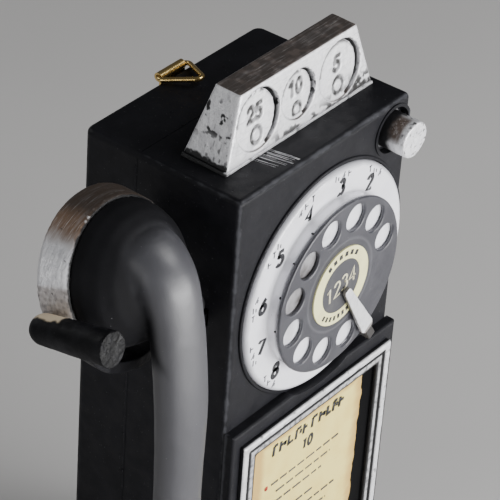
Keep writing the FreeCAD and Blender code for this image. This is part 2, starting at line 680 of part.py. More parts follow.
def finger_wheel():
    wheel = rod_y(DIAL_X, DIAL_Z, WHEEL_R, (WHEEL_FACE, WHEEL_FACE + WHEEL_THICK))
    for x, z in hole_centres():
        wheel = wheel.cut(rod_y(x, z, HOLE_R, (WHEEL_FACE - 1, WHEEL_FACE + WHEEL_THICK + 1)))
    wheel = rounded(wheel, 0.4, lambda x, y, z: near(y, WHEEL_FACE))
    return wheel.cut(rod_y(DIAL_X, DIAL_Z, SPINDLE_R, (-60, 0)))


def spindle():
    """The dial's arbor, with the collar that the wheel sits on."""
    shaft = rod_y(DIAL_X, DIAL_Z, SPINDLE_R, (WHEEL_FACE, DIAL_CUP_BACK + 1.5))
    collar = rod_y(DIAL_X, DIAL_Z, 6.0, (WHEEL_FACE + WHEEL_THICK, PLATE_FACE - 1.0 - FIT))
    return joined([shaft, collar])


def label_ring():
    return rod_y(DIAL_X, DIAL_Z, LABEL_R, (WHEEL_FACE - 0.6, WHEEL_FACE)).cut(
        rod_y(DIAL_X, DIAL_Z, LABEL_CENTRE_R, (-60, 0)))


def label_centre():
    return rod_y(DIAL_X, DIAL_Z, LABEL_CENTRE_R, (WHEEL_FACE - 0.5, WHEEL_FACE))


def gear(x, z, teeth, y, addendum, dedendum, phase, fill):
    """A spur gear about Y. fill is the share of the pitch that a tooth takes."""
    pitch = 360.0 / teeth
    r = MODULE * teeth / 2
    points = []
    for i in range(teeth):
        middle = phase + i * pitch
        for radius, side in ((r - dedendum, -0.62), (r, -0.5), (r + addendum, -0.26),
                             (r + addendum, 0.26), (r, 0.5), (r - dedendum, 0.62)):
            angle = math.radians(middle + side * pitch * fill)
            points.append((x + radius * math.cos(angle), z + radius * math.sin(angle)))
    return prism_y(points, y)


def governor_place():
    return (DIAL_X + MODULE * (MAIN_TEETH + PINION_TEETH) / 2, DIAL_Z)


GEAR_Y = (-24.0, -21.0)


def main_gear():
    wheel = gear(DIAL_X, DIAL_Z, MAIN_TEETH, GEAR_Y, 0.55, 0.95, 0.0, 0.42)
    lightening = [rod_y(DIAL_X + 10 * math.cos(a), DIAL_Z + 10 * math.sin(a), 2.6, (-30, -15))
                  for a in [math.radians(60 * i) for i in range(6)]]
    return wheel.cut(lightening).cut(rod_y(DIAL_X, DIAL_Z, SPINDLE_R, (-40, 0)))


def governor():
    """The pinion shaft that steadies the dial's return, with its two-armed fly."""
    x, z = governor_place()
    half_pitch = 180.0 / PINION_TEETH
    pinion = gear(x, z, PINION_TEETH, (GEAR_Y[0] - 0.5, GEAR_Y[1] + 0.5), 0.55, 0.95, 180.0 + half_pitch, 0.42)
    shaft = rod_y(x, z, 1.5, (FRONT + WALL + 2.6, DIAL_CUP_BACK - 0.2))
    fly = box((x - 6.5, x + 6.5), (-18.6, -17.2), (z - 2.2, z + 2.2))
    weights = [rod_y(x + sx * 6.0, z, 2.4, (-19.0, -16.4)) for sx in (-1, 1)]
    return joined([shaft, pinion, fly] + weights)


def return_spring():
    """The flat coil that brings the dial back, drawn as its drum."""
    drum = rod_y(DIAL_X, DIAL_Z, 11.0, (-20.0, -15.5))
    return drum.cut(rod_y(DIAL_X, DIAL_Z, 4.2, (-60, 0)))


def finger_stop():
    """The bright wedge that stops the finger, on a narrow arm and a foot outside the wheel."""
    y = (WHEEL_FACE - 3.1, WHEEL_FACE - 1.5)
    tip, heel, foot = 2.2, 31.5, 40.2
    wedge = prism_y(((tip, -1.3), (tip + 0.9, -1.8), (heel, -3.4), (heel + 2.2, -2.4), (heel + 2.2, 2.4),
                     (heel, 3.4), (tip + 0.9, 1.8), (tip, 1.3)), y)
    arm = prism_y(((heel, -1.9), (foot, -1.9), (foot, 1.9), (heel, 1.9)), (y[0] + 0.4, y[1]))
    leg = prism_y(((foot - 3.2, -1.9), (foot, -1.9), (foot, 1.9), (foot - 3.2, 1.9)), (y[1] - 0.1, PLATE_FACE))
    stop = joined([wedge, arm, leg])
    stop.rotate(Vector(0, 0, 0), Vector(0, 1, 0), -STOP_ANGLE)
    stop.translate(Vector(DIAL_X, 0, DIAL_Z))
    return stop


# ---------------------------------------------------------------- coin-release button
def button_sleeve():
    ring = rod_y(BUTTON_X, BUTTON_Z, BUTTON_R + 0.9, (FRONT + 3.0, FRONT + 9.0))
    return ring.cut(rod_y(BUTTON_X, BUTTON_Z, BUTTON_R + 0.06, (FRONT + 2, FRONT + 10)))


def release_button():
    y0 = FRONT - BUTTON_PROUD
    knob = rod_y(BUTTON_X, BUTTON_Z, BUTTON_R, (y0, FRONT + 7.5))
    return rounded(knob, 0.7, lambda x, y, z: near(y, y0))


def button_stem():
    stem = rod_y(BUTTON_X, BUTTON_Z, STEM_R, (FRONT + 7.5, GATE_Y - 1.2))
    collar = rod_y(BUTTON_X, BUTTON_Z, 2.4, (2.0, 3.2))
    return joined([stem, collar])


def stem_guide():
    """A small bracket on the right wall that guides the stem's far end."""
    block = box((BUTTON_X - 3.4, INNER), (5.0 + BUTTON_TRAVEL, 8.0 + BUTTON_TRAVEL), (BUTTON_Z - 3.4, BUTTON_Z + 3.4))
    return block.cut(rod_y(BUTTON_X, BUTTON_Z, STEM_R + 0.06, (0, 20)))


def button_spring():
    """The coil that pushes the button out, between the sleeve's back and the stem's collar."""
    turns, wire, r = 9, 0.3, 1.9
    start, end = FRONT + 9.6, 1.7
    helix = Part.makeHelix((end - start) / turns, end - start, r)
    helix.rotate(Vector(0, 0, 0), Vector(1, 0, 0), -90)
    helix.translate(Vector(BUTTON_X, start, BUTTON_Z))
    begin = helix.Edges[0].valueAt(helix.Edges[0].FirstParameter)
    tangent = helix.Edges[0].tangentAt(helix.Edges[0].FirstParameter)
    section = Part.Wire([Part.makeCircle(wire, begin, tangent)])
    return Part.Wire(helix.Edges).makePipeShell([section], True, True)


def coin_gate():
    """The shaft that the button rocks; its fingers let the coins drop."""
    shaft = rod_x(GATE_Y, GATE_Z, GATE_SHAFT_R, (-36.0, BUTTON_X + 1.6))
    lever = box((BUTTON_X - 1.4, BUTTON_X + 1.4), (GATE_Y - 1, GATE_Y + 1), (GATE_Z, BUTTON_Z + 2.0))
    fingers = [box((x - 3, x + 3), (GATE_Y - 0.6, GATE_Y + 0.6), (GATE_Z - 11, GATE_Z)) for _, x, _, _, _ in COINS]
    return joined([shaft, lever] + fingers)


def gate_bracket():
    """Two ears and a plate on the back wall that carry the gate's shaft."""
    plate = box((-36, 36), (BACK - WALL - 1.2, BACK - WALL), (GATE_Z - 6, GATE_Z + 6))
    ears = [box((x - 0.8, x + 0.8), (GATE_Y - 4, BACK - WALL - 1.1), (GATE_Z - 5, GATE_Z + 5)) for x in (-34, 32)]
    return joined([plate] + ears).cut(rod_x(GATE_Y, GATE_Z, GATE_SHAFT_R + 0.05, (-60, 60)))


# ---------------------------------------------------------------- switch hook
def cup_axis():
    return Vector(0, math.cos(math.radians(CUP_TILT)), -math.sin(math.radians(CUP_TILT)))


def cup_point(along, side_angle, r):
    """A point r from the upper cup's axis; side_angle is 0 towards the case and 90 up."""
    axis = cup_axis()
    up = Vector(0, -axis.z, axis.y)
    a = math.radians(side_angle)
    return Vector(HANDSET_X, CUP_Y, CUP_Z) + axis * along + Vector(1, 0, 0) * (r * math.cos(a)) + up * (r * math.sin(a))


def prong(angle, radii, along, dip):
    """A round prong that lies along the cup, with a blunt front end and a rounded back one."""
    off_axis = CAP_R_RIM + PRONG_CLEAR + radii[1]
    start = cup_point(0, angle, off_axis)
    across = cup_point(0, angle, off_axis + 1) - start
    way = Rotation(across, -dip if across.x < 0 else dip).multVec(cup_axis())
    bar = Part.makeCone(radii[0], radii[1], along[1] - along[0], start + way * along[0], way)
    tip = Part.makeSphere(radii[1], start + way * along[1])
    return bar.fuse(tip)


def hook_fork():
    """The cradle under the ear cup: a stout outer prong, a slim inner one and their yoke."""
    outer = prong(OUTER_PRONG, PRONG_R, (-24.5, 6.5), PRONG_DIP)
    inner = prong(INNER_PRONG, INNER_PRONG_R, (-9.0, 4.0), 0.0)
    y = HOOK_ARM_Y
    middle_y = (y[0] + y[1]) / 2
    along = (middle_y - CUP_Y) / cup_axis().y
    centre = cup_point(along, 0, 0)
    hole = rod_y(centre.x, centre.z, YOKE_R[0], (y[0] - 1, y[1] + 1))
    ring = rod_y(centre.x, centre.z, YOKE_R[1], y).cut(hole)
    reach = 60.0
    wedge = [(centre.x, centre.z)]
    for a in (OUTER_PRONG, 225.0, 255.0, 285.0, 360.0 + INNER_PRONG):
        wedge.append((centre.x + reach * math.cos(math.radians(a)), centre.z + reach * math.sin(math.radians(a))))
    yoke = ring.common(prism_y(wedge, (y[0] - 1, y[1] + 1)))
    fork = joined([outer, inner, yoke])
    # A socket for the lever's end.
    return fork.cut(box((LEVER_END, -40.0), (y[0] - 1, y[1] + 1), (HOOK_PIVOT[1] - 2.0, HOOK_PIVOT[1] + 2.0)))


def hook_lever():
    """The lever through the side of the case, with its pivot eye and its tail to the switch."""
    x, z = HOOK_PIVOT
    y = HOOK_ARM_Y
    arm = box((LEVER_END, x), y, (z - 2.0, z + 2.0))
    eye = rod_y(x, z, 4.0, y)
    tail = box((x - 1.5, x + 1.5), (y[0] + 1.5, y[1] - 1.5), (z - 26.0, z))
    return joined([arm, eye, tail]).cut(rod_y(x, z, 1.55, (y[0] - 1, y[1] + 1)))


def hook_bracket():
    """The bearing bracket on the inside of the left wall."""
    x, z = HOOK_PIVOT
    plate_low = box((-INNER, -INNER + 1.2), (HOOK_ARM_Y[0] - 3.0, HOOK_ARM_Y[1] + 3.0), (z - 16, z - 4.5))
    plate_high = box((-INNER, -INNER + 1.2), (HOOK_ARM_Y[0] - 3.0, HOOK_ARM_Y[1] + 3.0), (z + 5.6, z + 12))
    ears = [box((-INNER, x + 3.6), (y0, y0 + 1.4), (z - 16, z + 12))
            for y0 in (HOOK_ARM_Y[0] - 3.0, HOOK_ARM_Y[1] + 1.6)]
    shape = joined([plate_low, plate_high] + ears)
    return shape.cut(rod_y(x, z, 1.5, (-40, 0)))


def hook_pin():
    x, z = HOOK_PIVOT
    return rod_y(x, z, 1.5, (HOOK_ARM_Y[0] - 4.0, HOOK_ARM_Y[1] + 4.0))


def hook_switch():
    """The pile of contact springs that the lever's tail works."""
    x, z = HOOK_PIVOT
    blocks = [box((x - 5.8 + 0, x + 5.0), (-12.0, -6.0), (z - 44.0, z - 34.0))]
    leaves = [box((x + dx, x + dx + 0.4), (-11.0, -7.0), (z - 34.5, z - 16.0)) for dx in (-4.6, -1.6, 1.4, 4.2)]
    foot = box((-INNER, x + 5.0), (-12.0, -6.0), (z - 46.0, z - 43.9))
    return joined(blocks + leaves + [foot])


# ---------------------------------------------------------------- handset
def upright(shape):
    """Moves a shape from its own frame, axis +Z out through the cap, to the upper cup."""
    moved = shape.copy()
    moved.Placement = FreeCAD.Placement(Vector(HANDSET_X, CUP_Y, CUP_Z), Rotation(Vector(0, 0, 1), cup_axis()))
    return moved


def lower(shape):
    """The same piece at the mouth end."""
    return shape.mirror(Vector(0, 0, HANDSET_MID), Vector(0, 0, 1))


HANDLE_STATIONS = (                      # y, z, half width, half thickness, heading (0 is up, 180 down)
    (-13.0, 243.0, 20.5, 18.0, 90.0 - CUP_TILT),
    (-21.5, 246.6, 15.0, 13.0, 95.0),
    (-27.0, 245.4, 13.0, 11.7, 127.0),
    (-31.7, 240.6, 11.8, 10.4, 149.0),
    (-34.8, 232.5, 11.0, 9.4, 162.0),
    (-37.0, 223.0, 10.8, 8.9, 170.0),
    (-38.6, 212.0, 10.7, 8.7, 173.0),
    (-40.0, 198.0, 10.7, 8.6, 176.0),
    (-40.8, 184.0, 10.4, 8.4, 178.0),
    (-41.0, 168.0, 10.0, 8.0, 179.5),
)


def handle_grip():
    """The bowed grip and the two elbows: oval sections from cup to cup."""
    lower_half = [(y, 2 * HANDSET_MID - z, a, b, 360.0 - heading) for y, z, a, b, heading in HANDLE_STATIONS[::-1]]
    wires = []
    for y, z, a, b, heading in list(HANDLE_STATIONS) + lower_half:
        oval = Part.Ellipse(Vector(0, 0, 0), a, b).toShape()
        oval.Placement = FreeCAD.Placement(Vector(HANDSET_X, y, z), Rotation(Vector(1, 0, 0), heading))
        wires.append(Part.Wire([oval]))
    return Part.makeLoft(wires, True, False)


def cup_shell():
    """The cup behind the cap: a short drum that closes in a dome."""
    return turned([(0, -20.5), (8.0, -19.8), (14.5, -17.6), (19.5, -14.2), (23.4, -9.6), (25.8, -4.6), (26.8, 0), (0, 0)])


def handset_handle():
    cup = upright(cup_shell())
    shape = joined([handle_grip(), cup, lower(cup)])
    hollow = upright(turned([(0, -8.5), (20.5, -8.5), (23.2, -4.2), (23.6, 1.0), (0, 1.0)]))
    return shape.cut([hollow, lower(hollow)])


def cap():
    """A screw-on cap with its sound holes."""
    profile = [(CAP_R_IN, 0), (CAP_R_RIM - 0.6, 0), (CAP_R_RIM, 0.8), (CAP_R_FACE, CAP_DEPTH - 2.4),
               (CAP_R_FACE - 0.9, CAP_DEPTH - 0.8), (CAP_R_FACE - 3.9, CAP_DEPTH), (0, CAP_DEPTH - 1.4),
               (0, CAP_DEPTH - 3.8), (CAP_R_IN - 1.6, CAP_DEPTH - 3.2), (CAP_R_IN, CAP_DEPTH - 4.6)]
    shape = turned(profile)
    holes = [Part.makeCylinder(1.1, 12, Vector(0, 0, CAP_DEPTH - 8))]
    for r, count in ((6.5, 6), (12.5, 12)):
        for i in range(count):
            a = 2 * math.pi * i / count
            holes.append(Part.makeCylinder(1.1, 12, Vector(r * math.cos(a), r * math.sin(a), CAP_DEPTH - 8)))
    return shape.cut(holes)


def capsule(z0, z1, r):
    """A receiver or transmitter unit: a can with a smaller back."""
    can = Part.makeCylinder(r, z1 - z0, Vector(0, 0, z0))
    back = Part.makeCylinder(r - 7, 4.0, Vector(0, 0, z0 - 3.9))
    return can.fuse(back).removeSplitter()


# ---------------------------------------------------------------- hanger
def ring_frame():
    """Placement of the ring's plane: local +X across, +Y towards its tip."""
    y, z = RING_AXIS
    return FreeCAD.Placement(Vector(0, y, z), Rotation(Vector(1, 0, 0), 180.0 - RING_TILT))


def hanger_ring():
    """A bent-wire triangle with rounded corners."""
    h, length, bend = RING_HALF, RING_LENGTH, 2.2
    corners = [Vector(-h, 0, 0), Vector(h, 0, 0), Vector(0, length, 0)]
    edges = []
    ends = []
    for i in range(3):
        here, before, after = corners[i], corners[i - 1], corners[(i + 1) % 3]
        to_before = (before - here).normalize()
        to_after = (after - here).normalize()
        half = to_before.getAngle(to_after) / 2
        back = bend / math.tan(half)
        p, q = here + to_before * back, here + to_after * back
        centre = here + (to_before + to_after).normalize() * (bend / math.sin(half))
        middle = centre + (here - centre).normalize() * bend
        ends.append((p, q))
        edges.append(Part.Arc(p, middle, q).toShape())
    path = []
    for i in range(3):
        path.append(edges[i])
        path.append(Part.makeLine(ends[i][1], ends[(i + 1) % 3][0]))
    wire = Part.Wire(Part.__sortEdges__(path))
    start = Vector(0, 0, 0)
    section = Part.Wire([Part.makeCircle(RING_R, ends[0][1], Vector(1, 0, 0))])
    solid = wire.makePipeShell([section], True, True)
    solid.translate(start)
    solid.Placement = ring_frame()
    return solid


def hanger_strap():
    """The folded tab that holds the ring to the back, with its round barrel."""
    y, z = RING_AXIS
    half = RING_HALF - 2.6
    barrel = rod_x(y, z, RING_R + 0.85, (-half, half))
    tab = box((-half, half), (BACK, BACK + 0.9), (243.0, z))
    web = box((-half, half), (BACK, y), (z - 1.85, z - 0.95))
    shape = joined([barrel, tab, web])
    shape = shape.cut(rod_x(y, z, RING_R + 0.08, (-half - 1, half + 1)))
    for x in (-4.0, 4.0):
        shape = shape.cut(rod_y(x, 248.0, 1.0, (BACK - 1, BACK + 3)))
    return shape


def hanger_screws():
    return group([screw(x, 248.0, BACK + 0.9, -1, 4.4, 1.7, 0.9) for x in (-4.0, 4.0)])


# ---------------------------------------------------------------- write every piece
def main():
    pieces = {
        "front_housing": front_housing(),
        "rear_housing": rear_housing(),
        "base_plate": base_plate(),
        "base_bosses": base_bosses(),
        "base_screws": base_screws(),
        "housing_screws": housing_screws(),
        "cord_gland": cord_gland(),
        "lower_panel": lower_panel(),
        "panel_screws": panel_screws(),
        "card_frame": card_frame(),
        "instruction_card": card(),
        "return_bezel": return_bezel(),
        "return_cup": return_cup(),
        "return_flap": return_flap(),
        "return_flap_pin": return_flap_pin(),
        "vault_door": vault_door(),
        "vault_door_pin": vault_door_pin(),
        "lock_barrel": lock_barrel(),
        "lock_cam": lock_cam(),
        "coin_box": coin_box(),
        "coin_head": coin_head(),
        "coin_head_base": coin_head_base(),
        "coin_head_screws": coin_head_screws(),
        "chute_bracket": chute_bracket(),
        "coin_hopper": coin_hopper(),
        "number_plate": number_plate(),
        "dial_bushing": dial_bushing(),
        "dial_cup": dial_cup(),
        "dial_screws": dial_screws(),
        "finger_wheel": finger_wheel(),
        "dial_spindle": spindle(),
        "label_ring": label_ring(),
        "label_centre": label_centre(),
        "main_gear": main_gear(),
        "governor": governor(),
        "return_spring": return_spring(),
        "finger_stop": finger_stop(),
        "button_sleeve": button_sleeve(),
        "release_button": release_button(),
        "button_stem": button_stem(),
        "stem_guide": stem_guide(),
        "button_spring": button_spring(),
        "coin_gate": coin_gate(),
        "gate_bracket": gate_bracket(),
        "hook_fork": hook_fork(),
        "hook_lever": hook_lever(),
        "hook_bracket": hook_bracket(),
        "hook_pin": hook_pin(),
        "hook_switch": hook_switch(),
        "handset_handle": handset_handle(),
        "ear_cap": upright(cap()),
        "mouth_cap": lower(upright(cap())),
        "receiver_unit": upright(capsule(-4.0, 8.0, 22.9)),
        "transmitter_unit": lower(upright(capsule(-4.0, 8.5, 22.4))),
        "hanger_ring": hanger_ring(),
        "hanger_strap": hanger_strap(),
        "hanger_screws": hanger_screws(),
    }
    for name, x, _, _, coin in COINS:
        pieces["coin_chute_" + name] = coin_chute(x, coin)
    for name, shape in pieces.items():
        save(name, shape)
        print(name, "solids", len(shape.Solids), "valid", shape.isValid(), "volume", round(shape.Volume))


main()
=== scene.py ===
import itertools
import json
import math

import bmesh
import bpy
import numpy as np
from mathutils import Matrix, Vector


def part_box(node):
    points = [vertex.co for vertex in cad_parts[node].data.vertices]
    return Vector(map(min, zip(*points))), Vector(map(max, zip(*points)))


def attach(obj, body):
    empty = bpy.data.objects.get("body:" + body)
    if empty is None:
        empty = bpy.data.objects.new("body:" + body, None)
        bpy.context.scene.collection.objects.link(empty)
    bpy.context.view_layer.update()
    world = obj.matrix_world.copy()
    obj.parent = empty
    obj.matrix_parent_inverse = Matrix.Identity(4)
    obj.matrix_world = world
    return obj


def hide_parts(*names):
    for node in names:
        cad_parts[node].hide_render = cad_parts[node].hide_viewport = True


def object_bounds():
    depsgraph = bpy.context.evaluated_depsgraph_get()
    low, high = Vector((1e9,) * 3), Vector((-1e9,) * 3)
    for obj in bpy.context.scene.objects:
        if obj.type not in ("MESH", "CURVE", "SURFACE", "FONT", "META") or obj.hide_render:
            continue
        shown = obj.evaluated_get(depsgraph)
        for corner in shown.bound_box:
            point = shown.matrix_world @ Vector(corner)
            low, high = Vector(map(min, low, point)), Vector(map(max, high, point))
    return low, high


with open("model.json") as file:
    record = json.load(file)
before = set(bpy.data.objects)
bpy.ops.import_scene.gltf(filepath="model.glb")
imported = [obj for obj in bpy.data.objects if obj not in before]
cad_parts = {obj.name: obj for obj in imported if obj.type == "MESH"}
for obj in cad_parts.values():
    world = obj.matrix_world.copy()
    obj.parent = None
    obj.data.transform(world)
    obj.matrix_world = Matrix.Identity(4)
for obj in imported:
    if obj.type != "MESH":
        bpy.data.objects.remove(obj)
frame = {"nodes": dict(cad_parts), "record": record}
CAD_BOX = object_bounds()

MM = 0.001
CAD_LOW, CAD_HIGH = (np.array(corner) / MM for corner in CAD_BOX)

# ---------------------------------------------------------------- places, in mm, from the frame


def corners(node):
    """A CAD node's lowest and highest corners at rest, in mm."""
    low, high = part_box(node)
    return np.array(low) / MM, np.array(high) / MM


def middle(node):
    low, high = corners(node)
    return (low + high) / 2


CASE_HIGH = np.maximum(corners("front_housing")[1], corners("rear_housing")[1])
SIDE = CASE_HIGH[0]
FRONT = -corners("rear_housing")[1][1]  # the case reaches as far forward as back
SEAM = corners("front_housing")[1][1]
CASE_TOP = CASE_HIGH[2]
DIAL_X, _, DIAL_Z = middle("finger_wheel")
BUSHING_PROUD = 1.0
PLATE_FACE = corners("dial_bushing")[0][1] + BUSHING_PROUD
PLATE_R = (corners("number_plate")[1][0] - corners("number_plate")[0][0]) / 2
LABEL_FACE = corners("label_ring")[0][1]
KNOB_X, _, KNOB_Z = middle("release_button")
KNOB_FACE = corners("release_button")[0][1]
HEAD_LOW, _ = corners("coin_head")
PANEL_FACE = corners("lower_panel")[0][1]

CUP_TILT = math.radians(16.9)
CUP_RIM = np.array([-82.0, -11.2, 237.0])
CUP_AXIS = np.array([0.0, math.cos(CUP_TILT), -math.sin(CUP_TILT)])
CUP_UP = np.array([0.0, math.sin(CUP_TILT), math.cos(CUP_TILT)])
HANDSET_MID = 155.0
CAP_R = 27.6
# Coin recesses in the head: middle x, z, radius and the number above.
COINS = ((-22.0, 276.4, 12.1, "25"), (1.2, 276.4, 9.8, "10"), (25.4, 275.6, 12.1, "5"))
COIN_BIG_R = 11.0  # recesses above this radius have the larger figures
ENGRAVED = 0.50  # depth of the values
HEAD_SLOPE = 2.9 / 28.0  # how far the head's front leans back for each mm up
TOP_FALL = 2.0  # the case's top is this much lower at its back
STOP_ANGLE = math.radians(-58.0)
FIGURE_RING = 38.9  # radii on the dial
SMALL_PRINT_RING = 43.9
DOT_RING = 34.85
DOT_LIFT = 3.7  # from the plate's face to the edge of its raised middle
GROOVE_AT = 3.95  # the middle of the card frame's groove, from its outside
SUNK = 0.01  # how far print starts under its surface


# ---------------------------------------------------------------- smooth noise for shapes
def lattice(x, y, z, seed):
    """A repeatable value from 0 to 1 at whole-number places."""
    h = (x * 374761393 + y * 668265263 + z * 1442695041 + seed * 1274126177) & 0xFFFFFFFF
    h = ((h ^ (h >> 13)) * 1103515245) & 0xFFFFFFFF
    return ((h ^ (h >> 16)) & 0xFFFF) / 65535.0


def noise(points, size, seed=0):
    """Smooth noise from -1 to 1, with features about size mm across."""
    q = points / size + 200.0
    cell = np.floor(q).astype(np.int64)
    f = q - cell
    f = f * f * (3 - 2 * f)
    total = np.zeros(len(points))
    for corner in itertools.product((0, 1), repeat=3):
        weight = np.prod([f[:, i] if c else 1 - f[:, i] for i, c in enumerate(corner)], axis=0)
        total += weight * lattice(*(cell[:, i] + c for i, c in enumerate(corner)), seed)
    return 2 * total - 1


def rough(points, size, seed=0, octaves=3):
    """Noise with finer and finer detail."""
    return sum(noise(points, size / 2 ** i, seed + i) / 2 ** i for i in range(octaves)) / 1.5


def ramp(value, low, high):
    """0 below low, 1 above high, smooth between. low may be the larger one."""
    t = np.clip((value - low) / (high - low), 0, 1)
    return t * t * (3 - 2 * t)


# ---------------------------------------------------------------- meshes
def add_object(name, data):
    thing = bpy.data.objects.new(name, data)
    bpy.context.scene.collection.objects.link(thing)
    return thing


def new_piece(name, mesh, body, material, replaces=()):
    """Adds a mesh as a visible piece that rides on a body. Nothing passes the CAD's own box."""
    set_points(mesh, np.clip(points_of(mesh), CAD_LOW, CAD_HIGH))
    piece = add_object(name, mesh)
    mesh.materials.clear()
    mesh.materials.append(material)
    mesh.polygons.foreach_set("use_smooth", [True] * len(mesh.polygons))
    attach(piece, body)
    if replaces:
        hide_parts(*replaces)


def mesh_of(name, points, faces):
    """A mesh from points in mm."""
    mesh = bpy.data.meshes.new(name)
    mesh.from_pydata([tuple(p) for p in np.array(points) * MM], [], faces)
    mesh.update()
    return mesh


def fine_copy(node, voxel):
    """A CAD node's shape as a fine, even mesh with no sharp edges left."""
    source = add_object(node + "_fine", frame["nodes"][node].data.copy())
    remesh = source.modifiers.new("even", "REMESH")
    remesh.mode = "VOXEL"
    remesh.voxel_size = voxel * MM
    bpy.context.view_layer.update()
    graph = bpy.context.evaluated_depsgraph_get()
    mesh = bpy.data.meshes.new_from_object(source.evaluated_get(graph))
    bpy.data.objects.remove(source)
    mesh.name = node + "_fine"
    return mesh


def points_of(mesh):
    flat = np.empty(len(mesh.vertices) * 3)
    mesh.vertices.foreach_get("co", flat)
    return flat.reshape(-1, 3) / MM


def set_points(mesh, points):
    mesh.vertices.foreach_set("co", (points * MM).ravel())
    mesh.update()


def normals_of(mesh):
    flat = np.empty(len(mesh.vertices) * 3, dtype=np.float32)
    mesh.vertex_normals.foreach_get("vector", flat)
    return flat.reshape(-1, 3).astype(float)


def relax(mesh, rounds, weight=1.0):
    """Smooths a mesh, where weight is above 0, without shrinking it much."""
    count = len(mesh.vertices)
    pairs = np.empty(len(mesh.edges) * 2, dtype=np.int64)
    mesh.edges.foreach_get("vertices", pairs)
    a, b = pairs[0::2], pairs[1::2]
    links = np.bincount(pairs, minlength=count)
    points = points_of(mesh)
    weight = np.broadcast_to(weight, count)[:, None]
    for step in range(2 * rounds):
        pull = 0.6 if step % 2 == 0 else -0.61
        sums = np.stack([np.bincount(a, points[b, i], count) + np.bincount(b, points[a, i], count)
                         for i in range(3)], axis=1)
        points += pull * weight * (sums / np.maximum(links, 1)[:, None] - points)
    set_points(mesh, points)


def soft_copy(node, voxel, rounds):
    """A node's fine copy with softened edges, with its points and normals."""
    mesh = fine_copy(node, voxel)
    relax(mesh, rounds)
    return mesh, points_of(mesh), normals_of(mesh)


def push(mesh, amount):
    """Moves points along their normals by amount, in mm."""
    set_points(mesh, points_of(mesh) + normals_of(mesh) * np.asarray(amount)[:, None])


def mark(mesh, **values):
    """Stores named values per point for the material to read."""
    for name, value in values.items():
        layer = mesh.attributes.new(name, "FLOAT", "POINT")
        layer.data.foreach_set("value", np.clip(value, 0, 1).astype(np.float32))


def tube_faces(base, sections):
    """The faces of a closed four-sided tube whose sections' corners follow one another from base."""
    last = base + 4 * (sections - 1)
    faces = []
    for k in range(base, last, 4):
        faces += [(k + j, k + (j + 1) % 4, k + 4 + (j + 1) % 4, k + 4 + j) for j in range(4)]
    return faces + [(base + 3, base + 2, base + 1, base), tuple(range(last, last + 4))]


def from_dial(p):
    """How far points are from the dial's axis, in mm."""
    return np.hypot(p[:, 0] - DIAL_X, p[:, 2] - DIAL_Z)


def on_dial(radius, angle):
    """x and z at a radius and angle round the dial's axis."""
    return DIAL_X + radius * math.cos(angle), DIAL_Z + radius * math.sin(angle)


# ---------------------------------------------------------------- strokes: printed and engraved figures
def arc(x, y, rx, ry, start, end, steps=14):
    angles = np.radians(np.linspace(start, end, steps))
    return [(x + rx * math.cos(a), y + ry * math.sin(a)) for a in angles]


# Each figure is drawn in a box 0.6 wide and 1 high.
FIGURES = {
    "0": [arc(0.30, 0.5, 0.26, 0.49, 90, 450, 28)],
    "1": [[(0.10, 0.80), (0.34, 1.0), (0.34, 0.0)]],
    "2": [arc(0.30, 0.72, 0.25, 0.27, 165, -30) + [(0.04, 0.02), (0.58, 0.02)]],
    "3": [arc(0.27, 0.76, 0.23, 0.23, 150, -90) + arc(0.27, 0.27, 0.27, 0.26, 90, -150)],
    "4": [[(0.44, 0.0), (0.44, 1.0), (0.02, 0.32), (0.60, 0.32)]],
    "5": [[(0.54, 0.98), (0.16, 0.98), (0.10, 0.56)] + arc(0.27, 0.32, 0.29, 0.31, 125, -150)],
    "6": [[(0.50, 0.98), (0.22, 0.72)] + arc(0.30, 0.30, 0.26, 0.29, 155, 515, 24)],
    "7": [[(0.02, 0.90), (0.04, 0.98), (0.58, 0.98), (0.20, 0.0)]],
    "8": [arc(0.30, 0.76, 0.21, 0.22, -90, 270, 22), arc(0.30, 0.27, 0.26, 0.27, 90, 450, 24)],
    "9": [[(0.14, 0.02), (0.40, 0.28)] + arc(0.31, 0.70, 0.26, 0.29, -25, 335, 24)],
}


def figure_strokes(text, x, z, height, slant=0.0, gap=0.16):
    """The strokes of a number centred on (x, z), in mm."""
    advance = 0.6 + gap
    start = -(advance * len(text) - gap) / 2
    strokes = []
    for i, letter in enumerate(text):
        for line in FIGURES[letter]:
            strokes.append([(x + (start + i * advance + px + slant * (py - 0.5)) * height,
                             z + (py - 0.5) * height) for px, py in line])
    return strokes


def stroke_solid(strokes, width, face_y, raised, thin=0.45):
    """Flat strokes as closed solids on a plane of constant y, thinner the nearer they are to level."""
    points, faces = [], []
    for line in strokes:
        path = np.array(line)
        along = np.gradient(path, axis=0)
        along /= np.maximum(np.linalg.norm(along, axis=1), 1e-9)[:, None]
        across = np.stack([-along[:, 1], along[:, 0]], axis=1)
        half = width / 2 * (thin + (1 - thin) * np.abs(along[:, 1]))[:, None]
        base = len(points)
        top_y = face_y - raised
        for (ax, az), (bx, bz) in zip(path + across * half, path - across * half):
            points += [(ax, face_y, az), (bx, face_y, bz), (bx, top_y, bz), (ax, top_y, az)]
        faces += tube_faces(base, len(path))
    return points, faces


def stroke_distance(px, pz, strokes):
    """How far points are from the nearest stroke's middle line, in mm."""
    best = np.full(len(px), 1e9)
    for line in strokes:
        for (ax, az), (bx, bz) in zip(line[:-1], line[1:]):
            dx, dz = bx - ax, bz - az
            t = np.clip(((px - ax) * dx + (pz - az) * dz) / max(dx * dx + dz * dz, 1e-9), 0, 1)
            best = np.minimum(best, np.hypot(px - ax - t * dx, pz - az - t * dz))
    return best


